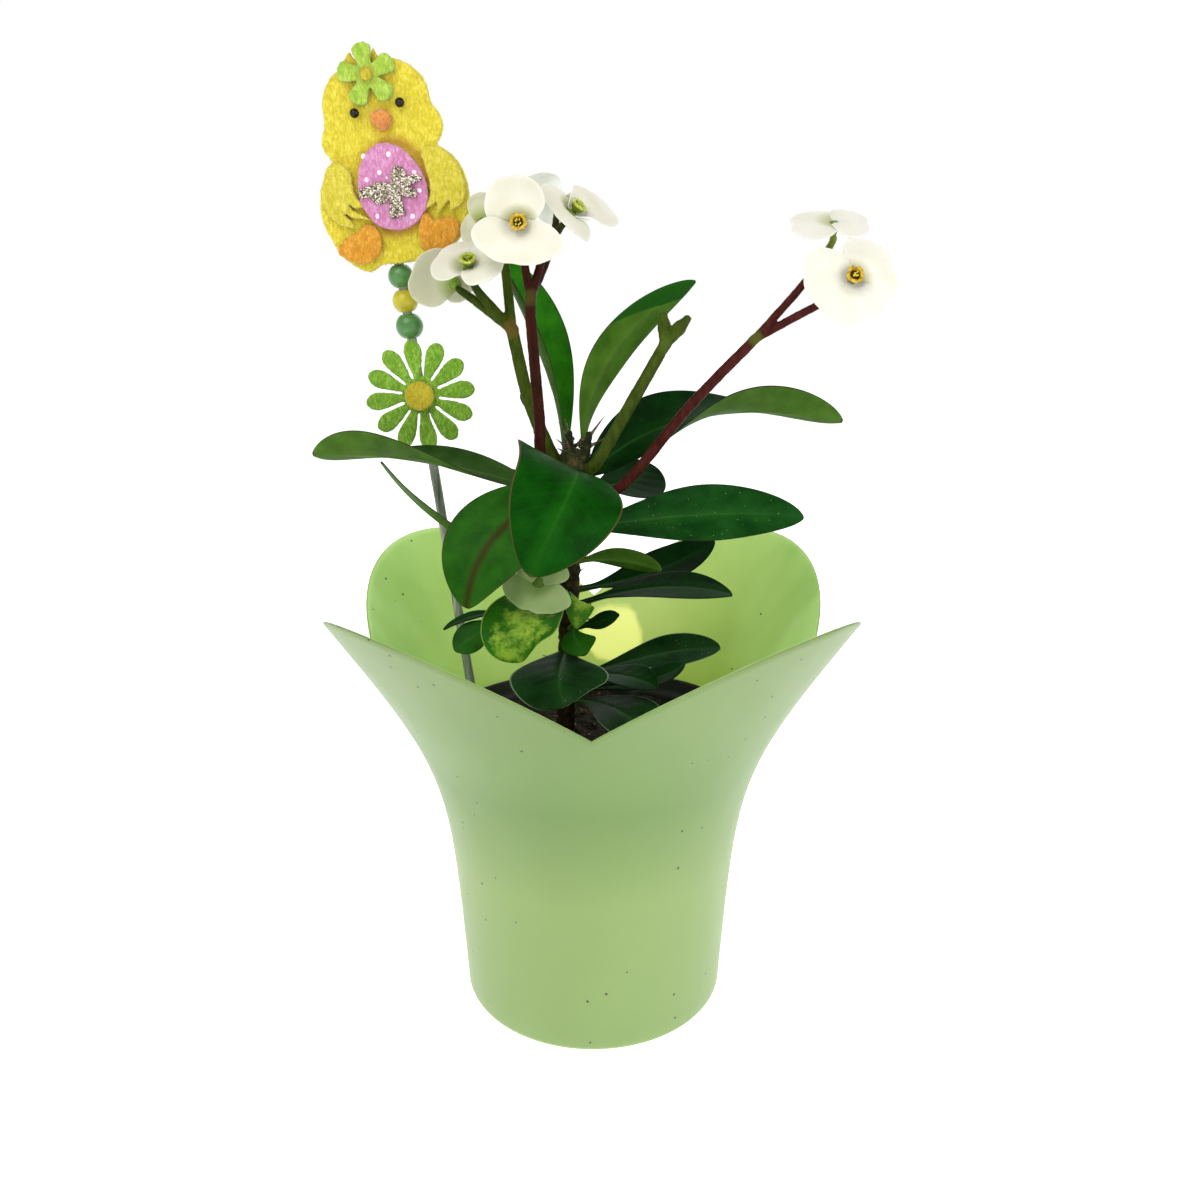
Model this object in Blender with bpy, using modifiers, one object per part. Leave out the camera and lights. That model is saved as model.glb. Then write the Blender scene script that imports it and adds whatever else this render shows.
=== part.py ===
"""Potted euphorbia in a petal-edged cover pot, with a felt chick pick stuck in its soil.

Lengths are in millimetres and are scaled to metres where a mesh or curve is made.
The origin is the middle of the cover pot's flat underside, +Z is up and the front is -Y.
"""
import math

import bmesh
import bpy
from mathutils import Matrix, Vector

MM = 0.001
WELD = 0.00002

# Clearance between touching pieces, and how far a tool for a hole reaches past its faces.
GAP = 0.35
DRAIN_REACH = 2.0
HOLE_REACH = 5.0

# Leaves: thickness, curl of the margins in degrees, how far the foot stands off the stem, half
# widths of the foot and of the tip, where it is widest, and how full its two ends are.
LEAF_THICKNESS = 0.8
LEAF_CURL = 14.0
LEAF_OUT = 0.25
LEAF_FOOT = 1.1
LEAF_TIP = 0.9
LEAF_WIDEST = 0.6
LEAF_SWELL = 1.15
LEAF_END_POWER = 0.62

# Cover pot: a shallow cone that flares smoothly into four rounded petals.
COVER_BASE_RADIUS = 43.0
COVER_WALL = 0.8
COVER_TAPER = 0.055
COVER_FLARE_HEIGHT = 84.0
COVER_FLARE_SLOPE = 0.62
COVER_FLARE_SOFTNESS = 14.0
COVER_NOTCH_HEIGHT = 116.0
COVER_PETAL_RISE = 27.5
COVER_STEPS_ROUND = 56
COVER_STEPS_UP = 9
COVER_ROW_POWER = 0.8

# Nursery pot and soil.
POT_RIM_RADIUS = 52.5
POT_RIM_TOP = 92.0
POT_RIM_BAND = 6.0
POT_SHOULDER_RADIUS = 49.0
POT_FOOT_RADIUS = 38.0
POT_WALL = 1.2
POT_FLOOR = COVER_WALL + GAP
DRAIN_RADIUS = 3.5
DRAIN_RING = 22.0
DRAIN_HOLES = 4
SOIL_TOP = 85.0
SOIL_CLEARANCE = 0.3
SOIL_BROAD = 0.8
SOIL_FINE = 0.5
HOLE_BOTTOM = 64.0
TURN_STEPS = 36

# Main stem from its foot in the soil up to the crown: height, x, y and radius.
STEM = (
    (65.0, -9.5, 8.0, 2.8),
    (85.0, -9.5, 8.0, 3.0),
    (119.0, -8.0, 5.0, 3.2),
    (147.0, -7.5, 2.0, 3.4),
    (163.0, -6.0, 0.5, 4.2),
    (170.0, -5.5, 0.0, 5.6),
    (177.0, -5.5, 0.0, 5.6),
    (181.0, -5.5, 0.0, 3.6),
)

# Pick: where its stick enters the soil, where it ends behind the chick, and its felt layers.
PICK_FOOT = Vector((-37.5, 18.0, HOLE_BOTTOM + 1.0))
PICK_TOP = Vector((-62.5, 18.0, 262.0))
STICK_RADIUS = 1.5
FELT_BACK = PICK_FOOT.y - STICK_RADIUS - GAP
BODY_FELT = 2.4
TRIM_FELT = 1.6
EGG_FELT = 2.0
CHICK_CENTRE = Vector((-62.5, 0.0, 264.0))
CHICK_SIZE = 0.96
DAISY_CENTRE = Vector((-54.0, 0.0, 196.6))

# Blooms: a bract's thickness, how far from its bloom's middle it starts, the angle from its
# axis where its ears begin to narrow, over how many degrees and how much, how far out its
# funnel reaches and the least that it reaches at its ears. Then the usual bract: its belly as
# a part of its length, how far it wraps round, its cup, how far it turns back, and the part of
# its lift that its claw has. Last, how it is divided where it shows well and elsewhere, and
# the short neck.
BRACT_THICKNESS = 0.7
BRACT_CLAW = 1.0
BRACT_EAR = 70.0
BRACT_EAR_FADE = 50.0
BRACT_EAR_LOSS = 0.72
BRACT_FUNNEL = 5.5
BRACT_LEAST = 1.5
BRACT_BELLY = 0.35
BRACT_WRAP = (112, 112)
BRACT_CUP = 2.5
BRACT_RECURVE = 2.0
CLAW_LIFT = 0.45
BRACT_STEPS = (8, 4)
BRACT_FEW_STEPS = (6, 3)
BLOOM_NECK = 3.0
BLOOM_NECK_TOP = 0.5
NECK_OVERLAP = 0.5
BLOOM_NECK_RADII = (1.0, 2.2)
PEDICEL_RADII = (1.1, 1.0, 1.0)

# Cup of glands: how far it stands off the neck, its height and radii, and its lobes.
GLAND_SEAT = 0.6
GLAND_CUP = 2.4
GLAND_RADII = (1.2, 1.9)
GLAND_LOBES = 5
GLAND_LOBE = 1.05
GLAND_RING = 2.1

COLOURS = {
    "cover_plastic": ((0.42, 0.60, 0.29), 0.35),
    "black_plastic": ((0.02, 0.02, 0.02), 0.5),
    "peat": ((0.03, 0.018, 0.01), 0.95),
    "bark": ((0.09, 0.07, 0.03), 0.8),
    "red_stalk": ((0.07, 0.018, 0.014), 0.5),
    "green_stalk": ((0.10, 0.13, 0.03), 0.5),
    "leaf": ((0.02, 0.10, 0.02), 0.4),
    "bract": ((0.90, 0.90, 0.80), 0.5),
    "pale_bract": ((0.45, 0.55, 0.28), 0.5),
    "gland": ((0.55, 0.30, 0.02), 0.35),
    "stick_wood": ((0.50, 0.48, 0.42), 0.7),
    "green_bead": ((0.12, 0.38, 0.18), 0.15),
    "yellow_bead": ((0.65, 0.60, 0.12), 0.15),
    "yellow_felt": ((0.75, 0.65, 0.04), 0.95),
    "green_felt": ((0.20, 0.48, 0.04), 0.95),
    "orange_felt": ((0.90, 0.32, 0.06), 0.95),
    "pink_felt": ((0.65, 0.26, 0.60), 0.95),
    "glitter": ((0.55, 0.50, 0.42), 0.4),
    "bead_black": ((0.01, 0.008, 0.006), 0.2),
}


def clear_scene():
    for obj in list(bpy.data.objects):
        bpy.data.objects.remove(obj, do_unlink=True)


def new_collection(name):
    made = bpy.data.collections.new(name)
    bpy.context.scene.collection.children.link(made)
    return made


clear_scene()
PART = new_collection("potted_euphorbia")


def material(kind):
    """The named finish, made the first time it is asked for."""
    found = bpy.data.materials.get(kind)
    if found:
        return found
    colour, roughness = COLOURS[kind]
    made = bpy.data.materials.new(kind)
    made.use_nodes = True
    shader = made.node_tree.nodes["Principled BSDF"]
    shader.inputs["Base Color"].default_value = (*colour, 1.0)
    shader.inputs["Roughness"].default_value = roughness
    shader.inputs["Metallic"].default_value = 0.0
    return made


def add_object(name, data, kind):
    obj = bpy.data.objects.new(name, data)
    data.materials.append(material(kind))
    PART.objects.link(obj)
    return obj


def add_mesh(name, shape, kind):
    """Turn a bmesh into an object, smooth where its faces meet gently."""
    mesh = bpy.data.meshes.new(name)
    bmesh.ops.recalc_face_normals(shape, faces=shape.faces)
    shape.to_mesh(mesh)
    shape.free()
    mesh.shade_smooth()
    mesh.set_sharp_from_angle(angle=math.radians(40))
    return add_object(name, mesh, kind)


def settle(obj):
    """Apply an object's modifiers, or turn a curve into a closed mesh."""
    graph = bpy.context.evaluated_depsgraph_get()
    graph.update()
    mesh = bpy.data.meshes.new_from_object(obj.evaluated_get(graph))
    shape = bmesh.new()
    shape.from_mesh(mesh)
    bmesh.ops.remove_doubles(shape, verts=shape.verts, dist=WELD)
    shape.to_mesh(mesh)
    shape.free()
    if obj.type == "MESH":
        obj.modifiers.clear()
        obj.data = mesh
        return obj
    name, place, homes = obj.name, obj.matrix_world.copy(), list(obj.users_collection)
    bpy.data.objects.remove(obj, do_unlink=True)
    solid = bpy.data.objects.new(name, mesh)
    solid.matrix_world = place
    for home in homes:
        home.objects.link(solid)
    return solid


def fuse(base, others, operation="UNION"):
    """Join others to base, or cut them from it, in one Boolean on a collection."""
    tools = bpy.data.collections.new(base.name + "_tools")
    bpy.context.scene.collection.children.link(tools)
    for other in others:
        for home in list(other.users_collection):
            home.objects.unlink(other)
        tools.objects.link(other)
    boolean = base.modifiers.new("fuse", "BOOLEAN")
    boolean.operand_type = "COLLECTION"
    boolean.collection = tools
    boolean.operation = operation
    boolean.solver = "EXACT"
    settle(base)
    for other in others:
        bpy.data.objects.remove(other, do_unlink=True)
    bpy.data.collections.remove(tools)
    return base


def lathe(name, profile, kind):
    """Turn (radius, height) points about Z; they run down the outer side."""
    shape = bmesh.new()
    points = [shape.verts.new((r * MM, 0, z * MM)) for r, z in profile]
    for upper, lower in zip(points, points[1:]):
        shape.edges.new((upper, lower))
    mesh = bpy.data.meshes.new(name)
    shape.to_mesh(mesh)
    shape.free()
    obj = add_object(name, mesh, kind)
    turn = obj.modifiers.new("turn", "SCREW")
    turn.steps = TURN_STEPS
    turn.render_steps = TURN_STEPS
    turn.use_merge_vertices = True
    turn.merge_threshold = WELD
    return obj


def tube(name, points, radii, kind, sides=2):
    """A round rod through points, with a radius at each point."""
    data = bpy.data.curves.new(name, "CURVE")
    data.dimensions = "3D"
    data.bevel_depth = MM
    data.bevel_resolution = sides
    data.use_fill_caps = True
    line = data.splines.new("POLY")
    line.points.add(len(points) - 1)
    for slot, point, radius in zip(line.points, points, radii):
        slot.co = (*(Vector(point) * MM), 1)
        slot.radius = radius
    return settle(add_object(name, data, kind))


def smooth_path(points, steps):
    """Catmull-Rom points through a route, with steps pieces a stretch."""
    ends = [2 * points[0] - points[1], *points, 2 * points[-1] - points[-2]]
    path = []
    for before, start, end, after in zip(ends, ends[1:], ends[2:], ends[3:]):
        for i in range(steps):
            t = i / steps
            path.append(
                0.5
                * (
                    2 * start
                    + (end - before) * t
                    + (2 * before - 5 * start + 4 * end - after) * t**2
                    + (3 * start - before - 3 * end + after) * t**3
                )
            )
    return path + [points[-1]]


def cone_between(name, start, end, radius, end_radius, kind, sides=6):
    """A cone or rod from start to end."""
    start, end = Vector(start), Vector(end)
    shape = bmesh.new()
    bmesh.ops.create_cone(
        shape,
        cap_ends=True,
        segments=sides,
        radius1=radius * MM,
        radius2=end_radius * MM,
        depth=(end - start).length * MM,
    )
    turn = (end - start).to_track_quat("Z", "Y").to_matrix().to_4x4()
    shape.transform(Matrix.Translation((start + end) / 2 * MM) @ turn)
    bmesh.ops.remove_doubles(shape, verts=shape.verts, dist=WELD)
    return add_mesh(name, shape, kind)


def ball(name, centre, radius, kind, around=8, up=6):
    shape = bmesh.new()
    bmesh.ops.create_uvsphere(shape, u_segments=around, v_segments=up, radius=radius * MM)
    shape.transform(Matrix.Translation(Vector(centre) * MM))
    return add_mesh(name, shape, kind)


def sheet(name, place, around, along, thickness, kind, wrap=False):
    """A solid sheet: place(u, v) puts a grid over 0..1, and Solidify gives it thickness."""
    shape = bmesh.new()
    bmesh.ops.create_grid(shape, x_segments=around, y_segments=along, size=0.5)
    for vert in shape.verts:
        vert.co = place(vert.co.x + 0.5, vert.co.y + 0.5) * MM
    if wrap:
        bmesh.ops.remove_doubles(shape, verts=shape.verts, dist=WELD)
    bmesh.ops.triangulate(shape, faces=shape.faces)
    mesh = bpy.data.meshes.new(name)
    shape.to_mesh(mesh)
    shape.free()
    mesh.shade_smooth()
    obj = add_object(name, mesh, kind)
    solid = obj.modifiers.new("thickness", "SOLIDIFY")
    solid.thickness = thickness * MM
    solid.offset = -1.0 if wrap else 0.0
    solid.use_even_offset = wrap
    return obj


def cover_radius(height):
    """Outer radius of the cover pot's wall at a height."""
    flare = math.log1p(math.exp((height - COVER_FLARE_HEIGHT) / COVER_FLARE_SOFTNESS))
    return (
        COVER_BASE_RADIUS
        + COVER_TAPER * height
        + COVER_FLARE_SLOPE * COVER_FLARE_SOFTNESS * flare
    )


def cover_edge(azimuth):
    """Height of the cut edge: notches at the front, back and sides, petals between."""
    return COVER_NOTCH_HEIGHT + COVER_PETAL_RISE * abs(math.sin(2 * azimuth))


def cover_point(u, v):
    """Wall of the cover pot, from the middle of its floor out and up to its edge."""
    azimuth = 2 * math.pi * u
    row = v * COVER_STEPS_UP
    if row < 0.5:
        return Vector((0, 0, 0))
    climb = max(row - 1, 0.0) / (COVER_STEPS_UP - 1)
    height = cover_edge(azimuth) * climb**COVER_ROW_POWER
    radius = cover_radius(height)
    return Vector((-radius * math.sin(azimuth), radius * math.cos(azimuth), height))


def make_cover():
    return sheet(
        "cover",
        cover_point,
        COVER_STEPS_ROUND,
        COVER_STEPS_UP,
        COVER_WALL,
        "cover_plastic",
        wrap=True,
    )


def pot_radius(height):
    """Outer radius of the nursery pot's tapered wall at a height."""
    part = (height - POT_FLOOR) / (POT_RIM_TOP - POT_RIM_BAND - POT_FLOOR)
    return POT_FOOT_RADIUS + (POT_SHOULDER_RADIUS - POT_FOOT_RADIUS) * part


def make_nursery_pot():
    band = POT_RIM_TOP - POT_RIM_BAND
    floor = POT_FLOOR + POT_WALL
    pot = lathe(
        "nursery_pot",
        (
            (0, floor),
            (pot_radius(floor) - POT_WALL, floor),
            (pot_radius(band) - POT_WALL, band + POT_WALL),
            (POT_RIM_RADIUS - POT_WALL, band + POT_WALL),
            (POT_RIM_RADIUS - POT_WALL, POT_RIM_TOP),
            (POT_RIM_RADIUS, POT_RIM_TOP),
            (POT_RIM_RADIUS, band),
            (POT_SHOULDER_RADIUS, band),
            (POT_FOOT_RADIUS, POT_FLOOR),
            (0, POT_FLOOR),
        ),
        "black_plastic",
    )
    settle(pot)
    drains = []
    for i in range(DRAIN_HOLES):
        angle = math.tau * (i + 0.5) / DRAIN_HOLES
        x, y = DRAIN_RING * math.cos(angle), DRAIN_RING * math.sin(angle)
        bottom, top = (x, y, POT_FLOOR - DRAIN_REACH), (x, y, floor + DRAIN_REACH)
        drains.append(cone_between("drain", bottom, top, DRAIN_RADIUS, DRAIN_RADIUS, "peat", 8))
    return fuse(pot, drains, "DIFFERENCE")


def soil_bumps(x, y):
    """Uneven top of the peat."""
    broad = SOIL_BROAD * math.sin(0.31 * x + 1.0) * math.cos(0.27 * y)
    return broad + SOIL_FINE * math.sin(0.7 * x + 0.5 * y)


def make_soil():
    bottom = POT_FLOOR + POT_WALL + GAP
    edge = pot_radius(SOIL_TOP) - POT_WALL - GAP - SOIL_CLEARANCE
    foot = pot_radius(bottom) - POT_WALL - GAP - SOIL_CLEARANCE
    rings = [(edge * part, SOIL_TOP) for part in (0.0, 0.25, 0.5, 0.75, 1.0)]
    soil = settle(lathe("soil", (*rings, (foot, bottom), (0, bottom)), "peat"))
    for vert in soil.data.vertices:
        if vert.co.z > (SOIL_TOP - 1) * MM:
            vert.co.z += soil_bumps(vert.co.x / MM, vert.co.y / MM) * MM
    stem_foot = Vector((STEM[0][1], STEM[0][2], HOLE_BOTTOM))
    stem_width = STEM[1][3] + GAP
    stick_width = STICK_RADIUS + GAP
    stick_foot, stick_end = stick_at(HOLE_BOTTOM), stick_at(SOIL_TOP + HOLE_REACH)
    stem_end = stem_foot + Vector((0, 0, SOIL_TOP + HOLE_REACH - HOLE_BOTTOM))
    holes = [
        cone_between("stem_hole", stem_foot, stem_end, stem_width, stem_width, "peat", 12),
        cone_between("stick_hole", stick_foot, stick_end, stick_width, stick_width, "peat", 12),
    ]
    return fuse(soil, holes, "DIFFERENCE")


def stem_at(height):
    """Middle and radius of the main stem at a height."""
    for low, high in zip(STEM, STEM[1:]):
        if height <= high[0]:
            part = (height - low[0]) / (high[0] - low[0])
            x, y, radius = (a + (b - a) * part for a, b in zip(low[1:], high[1:]))
            return Vector((x, y, height)), radius
    return Vector((*STEM[-1][1:3], height)), STEM[-1][3]


def stem_side(height, toward, extra=0.0):
    """A point just off the stem's side at a height, toward another point."""
    middle, radius = stem_at(height)
    outward = Vector(toward) - middle
    outward.z = 0
    return middle + outward.normalized() * (radius + GAP + extra)


# Short spiny stubs that crowd the crown: foot offset, tip offset and radius.
CROWN_STUBS = (
    ((2.5, -1.0), (4.5, -1.5, 187.0), 1.7),
    ((-1.5, 2.5), (-2.5, 4.0, 186.0), 1.6),
    ((-1.0, -2.0), (-1.5, -3.0, 185.0), 1.5),
    ((-0.5, 0.0), (-1.5, 0.0, 187.5), 1.3),
)

STUB_FOOT = 176.0
STUB_TAPER = 0.6

# Bare thin stalk behind the front stalk, with two tiny buds at its top.
THIN_STALK = (Vector((-7.0, 3.0, 177.0)), Vector((-16.0, 9.0, 183.0)), Vector((-20.5, 9.0, 196.0)))

THIN_RADII = (0.9, 0.9, 0.7)
THIN_BUD_FOOT = Vector((0.0, 0.0, -2.0))
THIN_BUD_TIPS = (Vector((-1.6, -0.6, 3.0)), Vector((1.4, -0.6, 3.0)))
THIN_BUD_RADII = (1.0, 0.5)

# Spines: height, azimuth in degrees, length and rise.
SPINES = (
    (92.0, 200, 5.0, 1.0),
    (99.0, 120, 5.0, 1.5),
    (112.0, 160, 6.0, 1.0),
    (126.0, 20, 7.0, 0.0),
    (141.0, 60, 6.0, 1.0),
    (152.0, 130, 6.0, 2.0),
    (156.0, 350, 6.0, -1.0),
)
SPINE_ROOT = 1.5
SPINE_RADII = (0.7, 0.25)
CROWN_SPINES = (
    ((-1.0, -1.5, 186.0), (3.5, -2.0, 192.0)),
    ((-1.0, -1.5, 183.0), (5.5, -3.0, 186.5)),
    ((-7.0, 3.0, 184.0), (-10.5, 5.0, 189.5)),
    ((-7.0, 0.5, 185.5), (-8.5, 2.0, 191.5)),
    ((-7.0, -3.0, 183.0), (-9.0, -5.5, 187.5)),
)


def make_stem():
    points = [(x, y, z) for z, x, y, _ in STEM]
    stem = tube("main_stem", points, [radius for *_, radius in STEM], "bark")
    grown = []
    for (x, y), tip, radius in CROWN_STUBS:
        foot = Vector((STEM[-1][1] + x, STEM[-1][2] + y, STUB_FOOT))
        top = Vector((STEM[-1][1] + tip[0], STEM[-1][2] + tip[1], tip[2]))
        grown.append(cone_between("stub", foot, top, radius, radius * STUB_TAPER, "bark"))
    grown.append(tube("thin", THIN_STALK, THIN_RADII, "bark"))
    top = THIN_STALK[-1]
    for bud_tip in THIN_BUD_TIPS:
        grown.append(
            cone_between("bud", top + THIN_BUD_FOOT, top + bud_tip, *THIN_BUD_RADII, "bark", 5)
        )
    for height, azimuth, length, rise in SPINES:
        middle, radius = stem_at(height)
        angle = math.radians(azimuth)
        out = Vector((math.cos(angle), math.sin(angle), 0))
        tip = middle + out * (radius + length) + Vector((0, 0, rise))
        foot = middle + out * (radius - SPINE_ROOT)
        grown.append(cone_between("spine", foot, tip, *SPINE_RADII, "bark", 3))
    for foot, tip in CROWN_SPINES:
        grown.append(cone_between("spine", foot, tip, *SPINE_RADII, "bark", 3))
    return fuse(stem, grown)


def bend(root, middle, tip, t):
    """Point and direction at t on the curve through root, middle and tip."""
    pull = 2 * middle - (root + tip) / 2
    point = (1 - t) ** 2 * root + 2 * t * (1 - t) * pull + t**2 * tip
    direction = 2 * (1 - t) * (pull - root) + 2 * t * (tip - pull)
    return point, direction.normalized()


def blade_width(t, widest, swell, foot, end):
    """Half width along a leaf as a part of its widest, narrowing to its foot and its tip."""
    bulge = math.sin(math.pi * t ** (math.log(0.5) / math.log(widest)))
    power = swell if t < widest else LEAF_END_POWER
    edge = foot + (end - foot) * t
    return max(edge, max(bulge, 0.0) ** power)


def leaf_point(leaf, root, u, v):
    """Surface of a leaf: u crosses it from margin to margin, v runs from its foot to its tip."""
    middle, tip = Vector(leaf["middle"]), Vector(leaf["tip"])
    point, direction = bend(root, middle, tip, v)
    _, main = bend(root, middle, tip, 0.5)
    across = main.cross(Vector(leaf["facing"])).normalized()
    across = (across - direction * across.dot(direction)).normalized()
    twist = leaf.get("twist", 0) * (v - leaf.get("pivot", 0.5))
    turn = Matrix.Rotation(math.radians(twist), 3, direction)
    across = turn @ across
    up = across.cross(direction)
    side = 2 * u - 1
    half = leaf["width"] / 2
    swell, widest = leaf.get("swell", LEAF_SWELL), leaf.get("widest", LEAF_WIDEST)
    width = half * blade_width(v, widest, swell, LEAF_FOOT / half, LEAF_TIP / half)
    curl = math.radians(leaf.get("curl", LEAF_CURL))
    out = width * math.sin(curl * side) / curl
    rise = width * (1 - math.cos(curl * side)) / curl
    place = (v - CORNER_PLACE) / CORNER_LENGTH
    corner = leaf.get("corner", 0.0) * max(0.0, side) ** 3 * math.exp(-(place**2))
    return point + across * (out + corner) + up * rise - direction * corner * CORNER_BACK


# A pointed corner drawn out of a leaf's margin: where it is, how long, how far it leans back.
CORNER_PLACE = 0.32
CORNER_LENGTH = 0.15
CORNER_BACK = 0.6

# Leaves that are nodes of their own: where each grows from the stem (height), a point on its
# midrib half way, its tip, its width, and the way that its upper face looks.
LEAVES = {
    "leaf_left_long": dict(
        height=167, middle=(-49, 0, 178), tip=(-84, -4, 181), width=25, facing=(0, 0, 1),
        widest=0.6, swell=1.0, twist=110, curl=40, out=0.6, across=6, along=10,
    ),
    "leaf_left_dark": dict(
        height=163, middle=(-22, 5, 171), tip=(-33, 7, 174), width=9, facing=(0.1, -0.3, 0.9)
    ),
    "leaf_left_edge_on": dict(
        height=139, middle=(-44, 7, 155), tip=(-66, 8, 177), width=15, facing=(0.68, 0.3, 0.64)
    ),
    "leaf_left_oval": dict(
        height=170, middle=(-29, -16, 158), tip=(-37, -22, 138), width=28,
        facing=(-0.3, -0.85, 0.45), widest=0.5, swell=0.6,
    ),
    "leaf_front_big": dict(
        height=174, middle=(-5.5, -28, 175.5), tip=(-17, -42, 153), width=32,
        facing=(0.35, -0.35, 0.93), widest=0.6, corner=10.0, across=6, along=10,
    ),
    "leaf_right_glossy": dict(
        height=157, middle=(33, -2, 162), tip=(64, -6, 162), width=22, facing=(0.05, -0.65, 0.76),
        widest=0.54, swell=0.85,
    ),
    "leaf_right_twisted": dict(
        height=174, middle=(33, 12, 190.5), tip=(78, 12, 189), width=28, facing=(0, 0.1, 1),
        widest=0.55, swell=0.5, twist=-130, pivot=0.62, curl=50, across=6, along=10,
    ),
    "leaf_upright_right": dict(
        height=178, middle=(4.5, 10, 207.5), tip=(31, 12, 231), width=14.5,
        facing=(-0.5, 0.8, 0.25), widest=0.58, out=0.9,
    ),
    "leaf_upright_back": dict(
        height=176, middle=(-15, 17, 208), tip=(-31, 19, 240), width=24, facing=(0.9, -0.4, 0.2),
        curl=65, out=1.2, across=6, along=10,
    ),
    "leaf_right_back": dict(
        height=171, middle=(11, 12, 170), tip=(19, 22, 174), width=21, facing=(0.3, -0.5, 0.8)
    ),
    "leaf_small_olive": dict(
        height=147, middle=(8, -6, 149), tip=(21, -8, 146), width=11, facing=(0, 0.8, 0.6)
    ),
    "leaf_right_dark": dict(
        height=137, middle=(19, 14, 140), tip=(40, 20, 149), width=16, facing=(-0.3, -0.6, 0.75)
    ),
    "leaf_right_slim": dict(
        height=132, middle=(21, 2, 138), tip=(44, 0, 136), width=15, facing=(0, -0.35, 0.93)
    ),
    "leaf_low_right": dict(
        height=106, middle=(22, 10, 113), tip=(42, 10, 115), width=14, facing=(0, -0.5, 0.87)
    ),
    "leaf_low_right_dark": dict(
        height=102, middle=(17, -3, 108.5), tip=(29, -4, 115), width=10, facing=(0.2, -0.4, 0.85)
    ),
    "leaf_low_middle": dict(
        height=108, middle=(9, -8, 112), tip=(20, -14, 110), width=13, facing=(0.2, -0.4, 0.9)
    ),
    "leaf_low_front": dict(
        height=118, middle=(-10, -22, 117), tip=(-8, -32, 111), width=30, facing=(0, -0.35, 0.93)
    ),
    "leaf_low_cupped": dict(
        height=99, middle=(9, -14, 102), tip=(17, -24, 95), width=21, facing=(0.1, -0.4, 0.9)
    ),
    "leaf_variegated": dict(
        height=138, middle=(-21.5, -18, 132), tip=(-21, -24, 122), width=24,
        facing=(-0.1, -0.6, 0.8), widest=0.5, swell=0.7,
    ),
}


def make_leaf(name, leaf):
    root = stem_side(leaf["height"], leaf["middle"], leaf.get("out", LEAF_OUT))
    return sheet(
        name,
        lambda u, v: leaf_point(leaf, root, u, v),
        leaf.get("across", 4),
        leaf.get("along", 8),
        LEAF_THICKNESS,
        "leaf",
    )


# Side shoots: a twig that grows from the stem, and the small leaves fused to it.
SHOOTS = {
    "shoot_left": dict(
        height=127,
        out=0.0,
        twig=((-18, 4, 128), (-28, 3, 129)),
        leaves=(
            dict(
                foot=(-27, 3, 129), middle=(-38, 4, 128), tip=(-48, 2, 124), width=6,
                facing=(0, -0.2, 1),
            ),
            dict(
                foot=(-27, 2, 128), middle=(-37, 0, 123), tip=(-44, -2, 118), width=11,
                facing=(-0.3, -0.8, 0.5),
            ),
        ),
    ),
    "shoot_front": dict(
        height=124,
        out=0.9,
        twig=((-6, -3, 127), (-5, -6, 131)),
        leaves=(
            dict(
                foot=(-5, -5, 130), middle=(-4, -10, 137), tip=(-5, -13, 129), width=10,
                facing=(0.3, -0.9, 0.3),
            ),
            dict(
                foot=(-6, -4, 127), middle=(-5, -10, 124), tip=(-2, -14, 121), width=12,
                facing=(0.2, -0.8, 0.5),
            ),
            dict(
                foot=(-5, -4, 127), middle=(2, -6, 129), tip=(8, -8, 132), width=7,
                facing=(-0.2, -0.6, 0.8),
            ),
        ),
    ),
}


TWIG_RADIUS = 1.2


def make_shoot(name, shoot):
    root = stem_side(shoot["height"], shoot["twig"][0], shoot["out"])
    points = [root, *map(Vector, shoot["twig"])]
    twig = tube(name, points, [TWIG_RADIUS] * len(points), "leaf")
    blades = []
    for leaf in shoot["leaves"]:
        foot = Vector(leaf["foot"])
        blade = sheet(
            "blade", lambda u, v: leaf_point(leaf, foot, u, v), 2, 6, LEAF_THICKNESS, "leaf"
        )
        blades.append(settle(blade))
    return fuse(twig, blades)


def bloom_axes(bloom, roll):
    """Direction that a bract points in, across it, and the way its bloom looks."""
    facing = Vector(bloom["facing"]).normalized()
    upright = Vector((0, 0, 1)) - facing * facing.z
    axis = Matrix.Rotation(math.radians(roll), 3, facing) @ upright.normalized()
    return axis, facing.cross(axis), facing


def bract_reach(bract, angle):
    """How far a bract reaches at an angle from its axis: an oval, narrower at its ears."""
    belly = bract.get("belly", BRACT_BELLY) * bract["length"]
    long, half = bract["length"] - belly, bract["half"]
    forward, sideways = math.cos(angle), math.sin(angle)
    a = (forward / long) ** 2 + (sideways / half) ** 2
    b = forward * belly / long**2
    c = (belly / long) ** 2 - 1
    reach = (b + math.sqrt(b * b - a * c)) / a
    ear = (abs(math.degrees(angle)) - BRACT_EAR) / BRACT_EAR_FADE
    ear = min(1.0, max(0.0, ear))
    return reach * (1 - BRACT_EAR_LOSS * ear * ear * (3 - 2 * ear))


def bract_point(bloom, bract, u, v):
    """Surface of a bract: it wraps round its bloom's middle, rises as a funnel and turns back."""
    axis, across, facing = bloom_axes(bloom, bract["roll"])
    low, high = bract.get("wrap", BRACT_WRAP)
    angle = math.radians(-low + (low + high) * u)
    blade = max(bract_reach(bract, angle) - BRACT_CLAW, BRACT_LEAST)
    reach = BRACT_CLAW + blade * v
    out = axis * math.cos(angle) + across * math.sin(angle)
    part = min(1.0, (reach - BRACT_CLAW) / BRACT_FUNNEL)
    rise = bract.get("cup", BRACT_CUP) * (1 - math.cos(part * math.pi)) / 2
    rise -= bract.get("recurve", BRACT_RECURVE) * (reach / bract["length"]) ** 2
    rise += bract.get("lift", 0.0) * (CLAW_LIFT + (1 - CLAW_LIFT) * part)
    return Vector(bloom["centre"]) + out * reach + facing * rise


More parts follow.
